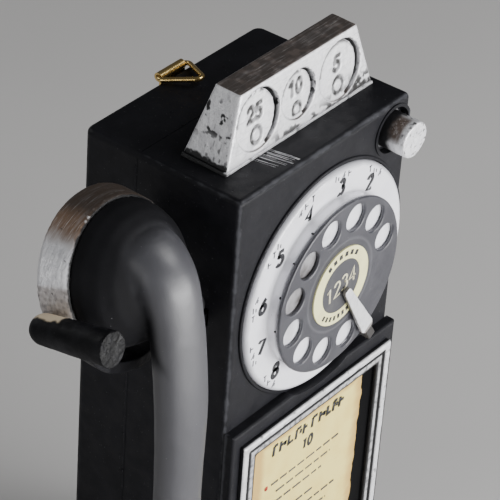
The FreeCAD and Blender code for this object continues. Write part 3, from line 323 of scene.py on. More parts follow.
# ---------------------------------------------------------------- materials
class Finish:
    """A material under construction. Sizes are in mm."""

    def __init__(self, name, colour, roughness, metallic=0.0, **sockets):
        self.material = bpy.data.materials.new(name)
        self.material.use_nodes = True
        self.nodes = self.material.node_tree.nodes
        self.links = self.material.node_tree.links
        self.shader = self.nodes["Principled BSDF"]
        self.colour = tuple(colour) + (1.0,)
        self.roughness = roughness
        self.metallic = metallic
        self.heights = []
        self.place = self.nodes.new("ShaderNodeTexCoord").outputs["Object"]
        for socket, value in sockets.items():
            self.shader.inputs[socket.replace("_", " ")].default_value = value

    def mapped(self, size, stretch=(1, 1, 1), shift=0.0):
        node = self.nodes.new("ShaderNodeMapping")
        node.inputs["Scale"].default_value = [1 / (size * MM * s) for s in stretch]
        node.inputs["Location"].default_value = (shift, shift * 1.7, shift * 0.6)
        self.links.new(self.place, node.inputs["Vector"])
        return node.outputs["Vector"]

    def noise(self, size, detail=2.0, stretch=(1, 1, 1), shift=0.0, distortion=0.0):
        node = self.nodes.new("ShaderNodeTexNoise")
        node.inputs["Scale"].default_value = 1.0
        node.inputs["Detail"].default_value = detail
        node.inputs["Distortion"].default_value = distortion
        self.links.new(self.mapped(size, stretch, shift), node.inputs["Vector"])
        return node.outputs["Fac"]

    def cells(self, size, shift=0.0):
        """Distance to the nearest of scattered points, in cell sizes."""
        node = self.nodes.new("ShaderNodeTexVoronoi")
        node.inputs["Scale"].default_value = 1.0
        self.links.new(self.mapped(size, shift=shift), node.inputs["Vector"])
        return node.outputs["Distance"]

    def mark(self, name):
        node = self.nodes.new("ShaderNodeAttribute")
        node.attribute_name = name
        return node.outputs["Fac"]

    def ramp(self, value, low, high, to_low=0.0, to_high=1.0):
        node = self.nodes.new("ShaderNodeMapRange")
        node.interpolation_type = "SMOOTHSTEP"
        limits = {"From Min": low, "From Max": high, "To Min": to_low, "To Max": to_high}
        for socket, number in limits.items():
            node.inputs[socket].default_value = number
        self.links.new(value, node.inputs["Value"])
        return node.outputs["Result"]

    def math(self, operation, a, b):
        node = self.nodes.new("ShaderNodeMath")
        node.operation = operation
        for socket, value in zip(node.inputs, (a, b)):
            if isinstance(value, (int, float)):
                socket.default_value = value
            else:
                self.links.new(value, socket)
        return node.outputs["Value"]

    def axis(self, index):
        """The place along one axis, in mm."""
        node = self.nodes.new("ShaderNodeSeparateXYZ")
        self.links.new(self.place, node.inputs["Vector"])
        return self.math("MULTIPLY", node.outputs[index], 1 / MM)

    def paint(self, mask, colour, roughness=None, metallic=None):
        """Lays another colour over what is there so far, where mask is 1."""
        mix = self.nodes.new("ShaderNodeMix")
        mix.data_type = "RGBA"
        factor, a, b = (next(s for s in mix.inputs if s.identifier == i)
                        for i in ("Factor_Float", "A_Color", "B_Color"))
        self.links.new(mask, factor)
        self.connect(self.colour, a)
        b.default_value = tuple(colour) + (1.0,)
        self.colour = next(s for s in mix.outputs if s.identifier == "Result_Color")
        if roughness is not None:
            self.roughness = self.blend(mask, self.roughness, roughness)
        if metallic is not None:
            self.metallic = self.blend(mask, self.metallic, metallic)
        return self

    def blend(self, mask, a, b):
        mix = self.nodes.new("ShaderNodeMix")
        self.links.new(mask, mix.inputs["Factor"])
        self.connect(a, mix.inputs["A"])
        self.connect(b, mix.inputs["B"])
        return mix.outputs["Result"]

    def connect(self, value, socket):
        if isinstance(value, (int, float, tuple)):
            socket.default_value = value
        else:
            self.links.new(value, socket)

    def uneven(self, value, low, high):
        """Lets the roughness run between two values."""
        self.roughness = self.ramp(value, 0.3, 0.7, low, high)
        return self

    def relief(self, value, depth):
        """Adds to the surface's relief, depth in mm."""
        self.heights.append(self.math("MULTIPLY", value, depth))
        return self

    def done(self):
        self.connect(self.colour, self.shader.inputs["Base Color"])
        self.connect(self.roughness, self.shader.inputs["Roughness"])
        self.connect(self.metallic, self.shader.inputs["Metallic"])
        if self.heights:
            total = self.heights[0]
            for height in self.heights[1:]:
                total = self.math("ADD", total, height)
            bump = self.nodes.new("ShaderNodeBump")
            bump.inputs["Strength"].default_value = 1.0
            bump.inputs["Distance"].default_value = MM
            self.links.new(total, bump.inputs["Height"])
            self.links.new(bump.outputs["Normal"], self.shader.inputs["Normal"])
        return self.material


BLACK = (0.0048, 0.0048, 0.0060)
RUBBED = (0.055, 0.056, 0.063)
SILVER = (0.80, 0.80, 0.82)
DULL_SILVER = (0.56, 0.56, 0.59)
# Brown for tarnished silver, also used as painted shade on the tops and sides of silver pieces.
TARNISH_AND_SHADE = (0.115, 0.085, 0.070)
RESIN = (0.72, 0.60, 0.43)


def edge_closeness(f, low, high):
    """How near a point is to a box's edges: the second smallest distance to its faces, in mm."""
    gaps = []
    for i in range(3):
        value = f.axis(i)
        gaps.append(f.math("ABSOLUTE", f.math("MINIMUM", f.math("SUBTRACT", value, low[i]),
                                              f.math("SUBTRACT", high[i], value)), 0.0))
    small = f.math("MINIMUM", gaps[0], gaps[1])
    large = f.math("MAXIMUM", gaps[0], gaps[1])
    return f.math("MAXIMUM", small, f.math("MINIMUM", large, gaps[2]))


def case_paint():
    """Matte black paint, thin along the case's edges, with fine pits and specks."""
    f = Finish("case_paint", (0.0082, 0.0082, 0.0102), 0.5, Specular_IOR_Level=0.16)
    f.paint(f.ramp(f.noise(9, 4), 0.35, 0.70), (0.0108, 0.0108, 0.0134))
    near_edge = edge_closeness(f, (-SIDE, FRONT, -400), (SIDE, -FRONT, CASE_TOP))
    thin = f.math("SUBTRACT", near_edge, f.math("MULTIPLY", f.noise(5, 4), 2.6))
    f.paint(f.ramp(thin, 0.2, -0.9, 0.0, 0.75), RUBBED, 0.38)
    f.paint(f.ramp(f.cells(2.3), 0.075, 0.045, 0.0, 0.55), (0.16, 0.16, 0.17))
    f.paint(f.ramp(f.noise(1.1, 2, shift=4), 0.78, 0.84, 0.0, 0.5), (0.09, 0.085, 0.08))
    f.uneven(f.noise(6, 5), 0.40, 0.58)
    f.relief(f.noise(14, 2), 0.35)
    f.relief(f.noise(0.5, 3), 0.035)
    f.relief(f.ramp(f.cells(3.4, 9), 0.12, 0.02), -0.12)
    f.relief(f.ramp(f.cells(5.1, 3), 0.07, 0.02), 0.12)
    return f.done()


def mark_paint():
    """The same black paint on pieces that carry their own wear marks."""
    f = Finish("worn_black_paint", BLACK, 0.50, Specular_IOR_Level=0.16)
    f.paint(f.ramp(f.noise(7, 4), 0.42, 0.68), (0.012, 0.012, 0.014))
    f.paint(f.mark("wear_and_sheen"), (0.055, 0.055, 0.060), 0.42)
    f.paint(f.ramp(f.cells(2.6), 0.05, 0.03, 0.0, 0.4), (0.16, 0.16, 0.17))
    f.paint(f.mark("bare"), RESIN, 0.6)
    f.paint(f.mark("soiling_and_shade"), (0.0016, 0.0016, 0.0020))
    f.uneven(f.noise(4, 5), 0.38, 0.6)
    f.relief(f.noise(1.2, 4, (1, 3, 1)), 0.10)
    f.relief(f.noise(0.4, 2), 0.03)
    f.relief(f.ramp(f.cells(1.7, 5), 0.14, 0.02), -0.10)
    return f.done()


def silver_paint(name, streak, shift=0.0, tarnish_and_shade=TARNISH_AND_SHADE):
    """Dry-brushed silver over black, streaked one way, with chips, brown streaks and near-black where they
    are marked; the brown and near-black are tarnished and soiled paint on some pieces, and painted shade and
    painted reflection on others.
    """
    f = Finish(name, SILVER, 0.4, 0.35)
    f.paint(f.ramp(f.noise(4, 5, shift=shift), 0.48, 0.72, 0.0, 0.55), DULL_SILVER)
    brush = f.noise(0.5, 4, streak, shift + 2)
    f.paint(f.ramp(brush, 0.52, 0.70, 0.0, 0.40), (0.36, 0.36, 0.39))
    streaks = f.noise(1.1, 5, streak, shift + 5)
    # Brown streaks where marked: tarnished paint on some pieces, painted shade on tops and sides on others.
    f.paint(f.math("MULTIPLY", f.mark("tarnish_and_shade"), f.ramp(streaks, 0.25, 0.55, 0.8, 1.0)), tarnish_and_shade, 0.5, 0.3)
    hairs = f.noise(0.45, 5, tuple(2.2 * s if s > 2 else s for s in streak), shift + 8)
    f.paint(f.math("MULTIPLY", f.mark("tarnish_and_shade"), f.ramp(hairs, 0.60, 0.68, 0.0, 0.75)), (0.58, 0.55, 0.53))
    f.paint(f.ramp(f.noise(0.55, 4, shift=shift + 7), 0.71, 0.76, 0.0, 0.85), (0.05, 0.05, 0.052), 0.55, 0.0)
    # Near-black where marked: soiled paint and black showing in engravings on some pieces, painted shade in
    # recesses, gaps and on tops and sides on others.
    f.paint(f.mark("soiling_and_shade"), (0.012, 0.011, 0.011), 0.6, 0.0)
    f.paint(f.mark("bare"), BLACK, 0.5, 0.0)
    f.relief(brush, 0.09)
    f.relief(f.noise(2.0, 5, shift=shift), 0.20)
    f.relief(f.noise(0.35, 2, shift=shift), 0.03)
    f.relief(f.ramp(f.cells(2.8, shift), 0.10, 0.03), -0.12)
    return f.done()


def plate_enamel():
    """Glossy white enamel that greys towards the plate's rim, with a painted brown shadow where it is
    marked.
    """
    f = Finish("plate_enamel", (0.88, 0.88, 0.93), 0.2, Coat_Weight=0.6, Coat_Roughness=0.08)
    f.paint(f.ramp(f.noise(14, 3), 0.45, 0.7, 0.0, 0.35), (0.70, 0.69, 0.74))
    f.paint(f.mark("rim"), (0.40, 0.40, 0.43), 0.35)
    # Painted shadow: near-black brown where marked.
    f.paint(f.mark("wheel_shadow"), (0.030, 0.021, 0.015), 0.5)
    f.paint(f.ramp(f.cells(4.2), 0.04, 0.025, 0.0, 0.8), (0.25, 0.25, 0.25))
    f.relief(f.noise(8, 2), 0.12)
    return f.done()


def wheel_enamel():
    f = Finish("wheel_enamel", (0.046, 0.046, 0.055), 0.42, 0.1, Coat_Weight=0.15, Coat_Roughness=0.2)
    f.paint(f.ramp(f.noise(10, 4), 0.4, 0.7), (0.058, 0.058, 0.068))
    f.paint(f.ramp(f.cells(3.6), 0.05, 0.03, 0.0, 0.7), (0.30, 0.30, 0.31))
    f.paint(f.mark("wear_and_sheen"), (0.15, 0.15, 0.165), 0.34)
    f.uneven(f.noise(5, 5), 0.28, 0.44)
    f.relief(f.noise(0.45, 3), 0.02)
    f.relief(f.noise(12, 2), 0.12)
    return f.done()


def paper(name, colour, aged, size):
    f = Finish(name, colour, 0.62, Specular_IOR_Level=0.35)
    f.paint(f.ramp(f.noise(size, 5), 0.42, 0.75, 0.0, 0.7), aged)
    f.paint(f.ramp(f.noise(0.9, 3), 0.68, 0.78, 0.0, 0.35), tuple(c * 0.7 for c in aged))
    f.paint(f.mark("edge"), (0.50, 0.33, 0.10), 0.7)
    f.relief(f.noise(0.5, 3), 0.02)
    return f.done()


def ink(name, colour):
    f = Finish(name, colour, 0.5)
    f.paint(f.ramp(f.noise(0.8, 4), 0.60, 0.72, 0.0, 0.6), tuple(min(1.0, c * 2.5 + 0.10) for c in colour))
    f.relief(f.noise(0.4, 2), 0.01)
    return f.done()


def handset_plastic():
    """Satin black, nearly smooth, with dust and faint sanding marks, and a painted sheen, lighter and
    glossier, where it is marked.
    """
    f = Finish("handset_plastic", BLACK, 0.55, Specular_IOR_Level=0.22)
    f.paint(f.ramp(f.noise(16, 4), 0.4, 0.7), (0.0075, 0.0075, 0.009))
    # Painted sheen: the marked places are lighter and glossier, standing in for a broad highlight.
    f.paint(f.mark("wear_and_sheen"), (0.050, 0.050, 0.057))
    f.paint(f.ramp(f.cells(4.6), 0.045, 0.028, 0.0, 0.8), (0.24, 0.24, 0.25))
    f.roughness = f.ramp(f.mark("wear_and_sheen"), 0, 1, 0.68, 0.42)
    f.connect(f.ramp(f.mark("wear_and_sheen"), 0, 1, 0.14, 0.75), f.shader.inputs["Specular IOR Level"])
    f.relief(f.noise(20, 2), 0.35)
    f.relief(f.noise(0.45, 3), 0.022)
    f.relief(f.noise(2.4, 3, (1, 1, 2.5)), 0.05)
    f.relief(f.ramp(f.cells(6.3, 4), 0.05, 0.015), 0.10)
    return f.done()


def brass():
    f = Finish("bright_brass", (0.78, 0.56, 0.22), 0.24, 1.0)
    f.paint(f.ramp(f.noise(3, 5), 0.5, 0.75, 0.0, 0.5), (0.48, 0.33, 0.13), 0.4)
    f.relief(f.noise(0.8, 3, (3, 1, 1)), 0.03)
    return f.done()


def works_steel():
    f = Finish("works_steel", (0.50, 0.50, 0.52), 0.34, 1.0)
    f.paint(f.ramp(f.noise(6, 5), 0.48, 0.75, 0.0, 0.6), (0.30, 0.29, 0.28), 0.5)
    f.relief(f.noise(0.6, 3, (1, 1, 8)), 0.03)
    return f.done()


def works_plastic():
    f = Finish("works_plastic", (0.10, 0.06, 0.035), 0.45)
    f.paint(f.ramp(f.noise(5, 4), 0.45, 0.7), (0.14, 0.085, 0.05))
    f.relief(f.noise(0.7, 3), 0.03)
    return f.done()


CASE_PAINT = case_paint()
MARK_PAINT = mark_paint()
SILVER_X = silver_paint("silver_paint_along_x", (9, 1, 1))
SILVER_Z = silver_paint("silver_paint_along_z", (1, 1, 9), 3.0)
# Its brown is painted reflection on the caps' crowns as well as tarnishing in their cracks.
SILVER_CUP = silver_paint("silver_paint_round", (8, 1, 8), 6.0, (0.21, 0.135, 0.090))
PLATE_ENAMEL = plate_enamel()
WHEEL_ENAMEL = wheel_enamel()
LABEL_CREAM = paper("label_cream", (0.80, 0.77, 0.40), (0.66, 0.62, 0.33), 9)
LABEL_DARK = paper("label_dark", (0.055, 0.055, 0.062), (0.085, 0.083, 0.085), 6)
CARD_PAPER = paper("card_paper", (0.74, 0.62, 0.20), (0.66, 0.49, 0.13), 14)
INK = ink("printing_ink", (0.014, 0.014, 0.017))
FAINT_INK = ink("faint_ink", (0.045, 0.045, 0.055))
RED_INK = ink("red_ink", (0.45, 0.05, 0.03))
CREAM_INK = ink("cream_ink", (0.66, 0.62, 0.42))
HANDSET_PLASTIC = handset_plastic()
BRASS = brass()
WORKS_STEEL = works_steel()
WORKS_PLASTIC = works_plastic()

SLOT_MATERIALS = {
    "case_paint": CASE_PAINT, "bright_casting": SILVER_Z, "plate_enamel": PLATE_ENAMEL,
    "wheel_enamel": WHEEL_ENAMEL, "label_cream": LABEL_CREAM, "label_dark": LABEL_DARK,
    "card_paper": CARD_PAPER, "handset_plastic": HANDSET_PLASTIC, "brass": BRASS,
    "works_steel": WORKS_STEEL, "works_plastic": WORKS_PLASTIC,
}


def dress_cad_nodes():
    """Every CAD node takes the material of its slot in the record."""
    for entry in frame["record"]["subparts"]:
        mesh = frame["nodes"][entry["node"]].data
        mesh.materials.clear()
        mesh.materials.append(SLOT_MATERIALS[entry["material_slot"]])
    # The lever is blacked, like the fork it carries.
    frame["nodes"]["hook_lever"].data.materials[0] = MARK_PAINT


# ---------------------------------------------------------------- coin head
def head_depth(p):
    """How far points are behind the head's sloping front face, in mm."""
    return p[:, 1] - (HEAD_LOW[1] + (p[:, 2] - HEAD_LOW[2]) * HEAD_SLOPE)


def engraving(p, x, z, r, value):
    """Where a recess's value and the little ring under it are cut, from 0 to 1."""
    height = 5.8 if r > COIN_BIG_R else 5.4
    figures = figure_strokes(value, x - 0.6, z + 2.6, height, 0.05)
    cut = stroke_distance(p[:, 0], p[:, 2], figures)
    ring = np.abs(np.hypot(p[:, 0] - x, (p[:, 2] - z + 6.6) / 1.15) - r * 0.23)
    return np.maximum(ramp(cut, 1.10, 0.85), ramp(ring, 0.95, 0.70))


def coin_head():
    """The silver head with its worn corners, engraved values, recesses darker near their walls, and painted
    shade on its top, deep in its recesses and along its foot.
    """
    mesh, p, n = soft_copy("coin_head", 0.36, 1)
    facing = ramp(-n[:, 1], 0.80, 0.95)
    above = p[:, 2] - HEAD_LOW[2]
    depth = head_depth(p)
    dent = 0.07 * rough(p, 3.0, 11) * ramp(n[:, 1], 0.9, 0.4)
    soiling_and_shade = np.zeros(len(p))
    for x, z, r, value in COINS:
        in_recess = np.hypot(p[:, 0] - x, p[:, 2] - z)
        angle = np.degrees(np.arctan2(p[:, 2] - z, p[:, 0] - x))
        inside = (in_recess < r - 0.8) * facing * (depth < 1.6)
        engraved = engraving(p, x, z, r, value) * inside
        dent -= ENGRAVED * engraved
        broken = ramp(rough(p, 1.6, 31), -0.35, 0.25)
        soiling_and_shade = np.maximum(soiling_and_shade, engraved * (0.72 + 0.28 * broken))
        # Darker in broken patches close to the upper half of each recess's wall.
        near_wall_dark = ramp(in_recess, r - 2.8, r - 1.2) * (in_recess < r + 0.3)
        near_wall_dark = near_wall_dark * ramp(np.abs(angle - 130), 160, 110)
        near_wall_dark = near_wall_dark * ramp(-n[:, 1], 0.3, 0.6) * ramp(rough(p, 1.7, 5), -0.40, -0.05) * 0.9
        soiling_and_shade = np.maximum(soiling_and_shade, near_wall_dark)
        # Painted shade: the deep part of each recess, its steep back wall, is painted near-black.
        crescent = (in_recess < r + 0.6) * ramp(depth, 1.25, 1.7)
        if value == "10":
            reeds = np.sin(np.radians(angle) * 62)
            crescent = crescent * (0.70 + 0.30 * reeds)
            wall = (in_recess > r - 1.9) * (in_recess < r + 0.5) * (np.abs(angle) < 75)
            dent += 0.14 * reeds * wall * ramp(depth, 0.5, 1.2)
        soiling_and_shade = np.maximum(soiling_and_shade, 0.92 * crescent)
    corner = ramp(p[:, 0] + 1.5 * rough(p, 3.0, 9), 28.0, 34.0) * ramp(above, 10, 4)
    soiling_and_shade = np.maximum(soiling_and_shade, corner * facing * ramp(rough(p, 1.8, 8), -0.3, 0.0))
    foot = ramp(above, 6.5, 1.0) * ramp(p[:, 0], -22, -8) * facing
    soiling_and_shade = np.maximum(soiling_and_shade, 0.95 * foot * ramp(rough(p, 2.4, 24), 0.02, 0.22))
    # Painted shade: a thin, broken near-black line along the gap at the head's foot, above the pad.
    ledge_line = ramp(np.abs(above - 0.4), 0.75, 0.35) * ramp(p[:, 0], -12, -4)
    soiling_and_shade = np.maximum(soiling_and_shade, ledge_line * ramp(rough(p, 5.0, 14), -0.45, 0.0) * ramp(-n[:, 1], 0.2, 0.6))
    left_end = ramp(n[:, 0], -0.5, -0.8)
    strip = ramp(above + 2.4 * rough(p, 3.4, 21), 2.2, 1.5)
    chips = ramp(rough(p, 2.4, 41), 0.22, 0.30) * ramp(np.abs(above - 16), 10, 4)
    downwards = noise(p * np.array((1, 1, 0.22)), 0.8, 45)
    scratches = ramp(downwards, 0.62, 0.72) * ramp(above, 24, 8)
    # Painted shade: the head's top faces are painted brown and streaked, with near-black patches.
    top = ramp(n[:, 2], 0.75, 0.92)
    top_shade = 0.58 * top * ramp(rough(p, 3.0, 18), -0.6, 0.2)
    mark(mesh, tarnish_and_shade=top * 0.95, soiling_and_shade=np.maximum(soiling_and_shade * ramp(n[:, 2], 0.8, 0.5), top_shade),
         bare=np.maximum(strip, np.maximum(chips, 0.7 * scratches)) * left_end)
    set_points(mesh, p + n * dent[:, None])
    new_piece("coin_head_casting", mesh, "case", SILVER_X, ["coin_head"])


def coin_head_pad():
    """The pad under the head: silvered in front, black at its ends and back."""
    mesh, p, n = soft_copy("coin_head_base", 0.3, 2)
    push(mesh, 0.06 * rough(p, 2.0, 13))
    front = ramp(-n[:, 1], 0.3, 0.6) + ramp(head_depth(p), 1.6, 0.8) * ramp(n[:, 2], 0.3, 0.6)
    front = np.clip(front, 0, 1)
    mark(mesh, tarnish_and_shade=np.zeros(len(p)), soiling_and_shade=front * ramp(rough(p, 3.0, 15), 0.1, 0.5) * 0.8,
         bare=1 - front * ramp(p[:, 0] + 2 * rough(p, 3, 16), -41.5, -39.5))
    new_piece("coin_head_pad", mesh, "case", SILVER_X, ["coin_head_base"])


def ledge_height(y):
    """Just above the case's top, which falls a little towards its back."""
    clear = 0.06
    return CASE_TOP - TOP_FALL * (y - FRONT) / (-2 * FRONT) + clear


def silver_smear():
    """Silver brushed by accident over the ledge in front of the head."""
    points, faces = [], []
    hairs, thick = 26, 0.05
    rng = np.random.default_rng(7)
    for _ in range(hairs):
        x = rng.normal(-18.5, 3.8)
        start = HEAD_LOW[1] + 0.5 - abs(rng.normal(0, 2.2))
        end = max(start - rng.uniform(2.5, 13.0), FRONT + 2.4)
        width = rng.uniform(0.03, 0.10)
        slant = rng.normal(0.19, 0.03)
        base = len(points)
        for y, w in ((start, width), ((start + end) / 2, width * 0.7), (end, 0.03)):
            lean = slant * (start - y)
            top = ledge_height(y)
            points += [(x - w + lean, y, top), (x + w + lean, y, top),
                       (x + w + lean, y, top + thick), (x - w + lean, y, top + thick)]
        faces += tube_faces(base, 3)
    mesh = mesh_of("silver_smear", points, faces)
    new_piece("silver_smear", mesh, "case", SILVER_X)


# ---------------------------------------------------------------- handset
def cup_places(p, side):
    """Distance along the cup's axis, distance from it and angle round it. side is 1 for the ear end."""
    q = p.copy()
    if side < 0:
        q[:, 2] = 2 * HANDSET_MID - q[:, 2]
    q = q - CUP_RIM
    along = q @ CUP_AXIS
    up = q @ CUP_UP
    return along, np.hypot(q[:, 0], up), np.degrees(np.arctan2(up, q[:, 0]))


def handset_shell():
    """Grip, necks and cups as one smooth moulding."""
    mesh = fine_copy("handset_handle", 0.85)
    p = points_of(mesh)
    weight = np.ones(len(p))
    for side in (1, -1):
        along, _, _ = cup_places(p, side)
        near_end = (p[:, 2] - HANDSET_MID) * side > 40
        weight = np.where(near_end, weight * ramp(along, -2.0, -7.0), weight)
    relax(mesh, 60, weight)
    p, n = points_of(mesh), normals_of(mesh)
    push(mesh, (0.22 * noise(p, 22, 3) + 0.06 * noise(p, 7, 4)) * weight)
    # The grip, the elbows and the crests above them are marked for a painted sheen in the plastic, a
    # highlight painted into the colour.
    wear_and_sheen = ramp(np.abs(p[:, 2] - HANDSET_MID), 66, 54)
    for side in (1, -1):
        along, r, angle = cup_places(p, side)
        up, across = r * np.sin(np.radians(angle)), r * np.cos(np.radians(angle))
        crest = ramp(along, -12.0, -18.5) * ramp(np.abs(across), 16, 9) * ramp(up, -2, 5)
        elbow = np.maximum(ramp(along + 0.6 * rough(p, 8, 29), -17.5, -23.5), crest)
        near_end = (p[:, 2] - HANDSET_MID) * side > 40
        wear_and_sheen = np.where(near_end, np.maximum(wear_and_sheen, elbow), wear_and_sheen)
    mark(mesh, wear_and_sheen=wear_and_sheen)
    new_piece("handset_shell", mesh, "handset", HANDSET_PLASTIC, ["handset_handle"])


def handset_cap(node, side):
    """A silver cap with brush marks round it, cracked and chipped edges, and painted reflection on its
    crown: brown, and near-black over much of it.
    """
    mesh, p, n = soft_copy(node, 0.5, 2)
    along, r, angle = cup_places(p, side)
    outside = ramp(r, CAP_R - 2.4, CAP_R - 1.2)
    round_marks = noise(np.stack([along, angle / 40, r * 0], axis=1), 0.7, 17)
    dent = outside * (0.05 * round_marks + 0.06 * rough(p, 2.6, 19))
    turn = np.mod(angle, 360)
    cracked = ramp(np.abs(turn - 178), 13, 9)
    dent += cracked * outside * 0.30 * rough(p, 1.3, 23)
    # Painted reflection: the crown, the cap's upper side, is painted brown, and near-black over much of it.
    crown = ramp(turn + 4 * rough(p, 4.0, 31), 142, 124) * ramp(turn, 20, 50)
    drips = ramp(rough(p, 1.8, 33), 0.15, 0.4) * ramp(np.abs(turn - 117), 18, 8)
    drips = drips * ramp(np.abs(along - 0.9), 0.9, 0.3)
    dent += outside * (0.30 * drips + 0.22 * ramp(rough(p, 1.5, 35), 0.55, 0.7) * crown)
    bare = ramp(along + 0.25 * rough(p, 2.0, 37), 0.6, 0.2) * outside * (1 - drips)
    bare = np.maximum(bare, outside * ramp(rough(p, 1.3, 43), 0.72, 0.80))
    crown_shade = 0.80 * ramp(turn + 5 * rough(p, 3.0, 49), 120, 102) * crown * (1 - drips)
    cracks_and_crown_shade = np.maximum(cracked * ramp(rough(p, 1.1, 47), 0.0, 0.3) * 0.35, crown_shade)
    mark(mesh, tarnish_and_shade=outside * crown * (1 - drips) + 0.45 * cracked,
         soiling_and_shade=np.maximum(cracks_and_crown_shade, (1 - outside) * 0.75), bare=bare)
    set_points(mesh, p + n * dent[:, None])
    new_piece(node + "_painted", mesh, "handset", SILVER_CUP, [node])


def hook():
    """The black fork: a stout round bar, blunt in front, worn through to the casting under the cap."""
    mesh, p, n = soft_copy("hook_fork", 0.4, 4)
    along, r, angle = cup_places(p, 1)
    front_end = ramp(along, -23.4, -24.6)
    push(mesh, 0.09 * rough(p, 3.0, 51) + front_end * (0.5 * rough(p, 1.8, 53) - 0.25))
    bar = (r > CAP_R) & (np.abs(angle) > 140)
    touched = ramp(r + 1.2 * rough(p, 3.0, 55), CAP_R + 9.6, CAP_R + 8.4) * bar * ramp(n[:, 2], -0.1, 0.3)
    mark(mesh, bare=touched * ramp(along + rough(p, 2.4, 56), -3.2, -2.0) * ramp(along, 10.5, 8.5),
         soiling_and_shade=front_end * ramp(rough(p, 1.2, 58), 0.45, 0.25),
         wear_and_sheen=np.maximum(0.25 * front_end * ramp(rough(p, 0.9, 57), 0.35, 0.6),
                           0.5 * ramp(rough(p, 5.0, 59), 0.35, 0.7)))
    new_piece("hook_casting", mesh, "hook", MARK_PAINT, ["hook_fork"])


# ---------------------------------------------------------------- dial
def number_plate():
    """The white plate: a soft grey rim that rolls back into the case, and a painted shadow behind the wheel.
    """
    mesh = fine_copy("number_plate", 0.5)
    relax(mesh, 14, ramp(from_dial(points_of(mesh)), PLATE_R - 5.0, PLATE_R - 2.5))
    p = points_of(mesh)
    r = from_dial(p)
    flat = (np.abs(p[:, 1] - PLATE_FACE) < 0.3) & (r < PLATE_R - 2.0)
    p[flat, 1] = PLATE_FACE
    set_points(mesh, p)
    turn = np.mod(np.degrees(np.arctan2(p[:, 2] - DIAL_Z, p[:, 0] - DIAL_X)), 360)
    # Painted shadow: dark brown on the raised middle behind the wheel's left-hand holes, where the wheel's
    # shade falls.
    hidden = ramp(p[:, 1], PLATE_FACE - 3.0, PLATE_FACE - DOT_LIFT) * ramp(r, 34.0, 33.4)
    shadiest_turn = 152
    heavy = ramp(np.abs(turn - shadiest_turn + 3 * rough(p, 6, 62)), 34, 22)
    light = 0.35 * ramp(np.abs(turn - shadiest_turn), 62, 46) * ramp(rough(p, 5, 64), -0.2, 0.5)
    mark(mesh, rim=ramp(r + 0.5 * rough(p, 5, 61), PLATE_R - 2.4, PLATE_R - 0.2) * 0.8,
         wheel_shadow=hidden * np.maximum(heavy * (0.80 + 0.2 * rough(p, 4, 66)), light))
    new_piece("number_plate_enamel", mesh, "case", PLATE_ENAMEL, ["number_plate"])


def dial_print():
    """Numbers round the plate, small groups of strokes outside them and dots by the wheel."""
    first, step, letter_step = 54.98, 28.41, 0.088
    figures, groups, dots = [], [], []
    for i, value in enumerate("2345678"):
        a = math.radians(first + step * i)
        figures += figure_strokes(value, *on_dial(FIGURE_RING, a), 6.0, 0.12)
        for k in (-1, 0, 1):
            groups += greeked_letter(*on_dial(SMALL_PRINT_RING, a + k * letter_step), 2.5, i * 3 + k)
    for a in np.radians((118.5, 139.7, 162.1, 186.0)):
        x, z = on_dial(DOT_RING, a)
        dots.append(((x, PLATE_FACE - DOT_LIFT, z), 0.5))
    pimples("dial_dots", dots, "case", INK, 12)
    raised = 0.04
    for name, strokes, width, material in (("dial_figures", figures, 2.1, INK),
                                           ("dial_small_print", groups, 0.62, FAINT_INK)):
        points, faces = stroke_solid(strokes, width, PLATE_FACE + SUNK, raised, 0.85)
        new_piece(name, mesh_of(name, points, faces), "case", material)


def greeked_letter(x, z, height, kind):
    """A few strokes the size of a small letter that spell nothing."""
    w, h = height * 0.32, height / 2
    shapes = (
        [[(-w, -h), (-w, h)], [(w, -h), (w, h * 0.2)]],
        [[(-w, h), (w, h)], [(0, h), (0, -h)]],
        [[(-w, -h), (-w, h)], [(-w, 0), (w, 0)]],
        [[(-w, -h), (w, h)], [(w * 0.4, -h), (w, 0)]],
    )
    return [[(x + a, z + b) for a, b in line] for line in shapes[kind % len(shapes)]]


def finger_wheel():
    """The dark wheel with softened edges and a fine raised line round the label."""
    mesh, p, n = soft_copy("finger_wheel", 0.4, 3)
    line_r = 19.2
    facing = ramp(-n[:, 1], 0.6, 0.9)
    line = ramp(np.abs(from_dial(p) - line_r), 0.75, 0.2)
    set_points(mesh, p + n * (0.10 * line * facing)[:, None])
    worn = ramp(np.abs(-n[:, 1] - 0.55), 0.35, 0.1) * ramp(rough(p, 4, 67), -0.2, 0.5)
    mark(mesh, wear_and_sheen=np.maximum(worn * 0.8, line * facing * 0.35))
    new_piece("finger_wheel_enamel", mesh, "dial", WHEEL_ENAMEL, ["finger_wheel"])


def label_print():
    """Blocks round the label's ring and four figures across its middle."""
    points, faces = [], []
    inner, outer, thick = 12.9, 14.9, 0.05
    for start, end, count in ((132, 48, 6), (222, 318, 9)):
        for i in range(count):
            a = math.radians(start + (end - start) * (i + 0.5) / count)
            half = math.radians(abs(end - start) / count * 0.30)
            k = len(points)
            for depth in (0.0, thick):
                for r, b in ((inner, -half), (inner, half), (outer, half * 0.8), (outer, -half * 0.8)):
                    x, z = on_dial(r, a + b)
                    points.append((x, LABEL_FACE + SUNK - depth, z))
            faces += [(k, k + 1, k + 2, k + 3), (k + 7, k + 6, k + 5, k + 4)]
            faces += [(k + j, k + 4 + j, k + 4 + (j + 1) % 4, k + (j + 1) % 4) for j in range(4)]
    mesh = mesh_of("label_blocks", points, faces)
    new_piece("label_blocks", mesh, "dial", INK)
    strokes = figure_strokes("1234", 0.0, 0.0, 6.6, 0.18, 0.10)
    tilt = math.radians(14)
    c, s = math.cos(tilt), math.sin(tilt)
    turned = [[(DIAL_X + x * c - z * s, DIAL_Z + x * s + z * c) for x, z in line] for line in strokes]
    face = corners("label_centre")[0][1]
    points, faces = stroke_solid(turned, 1.0, face + SUNK, thick, 0.8)
    new_piece("label_figures", mesh_of("label_figures", points, faces), "dial", CREAM_INK)


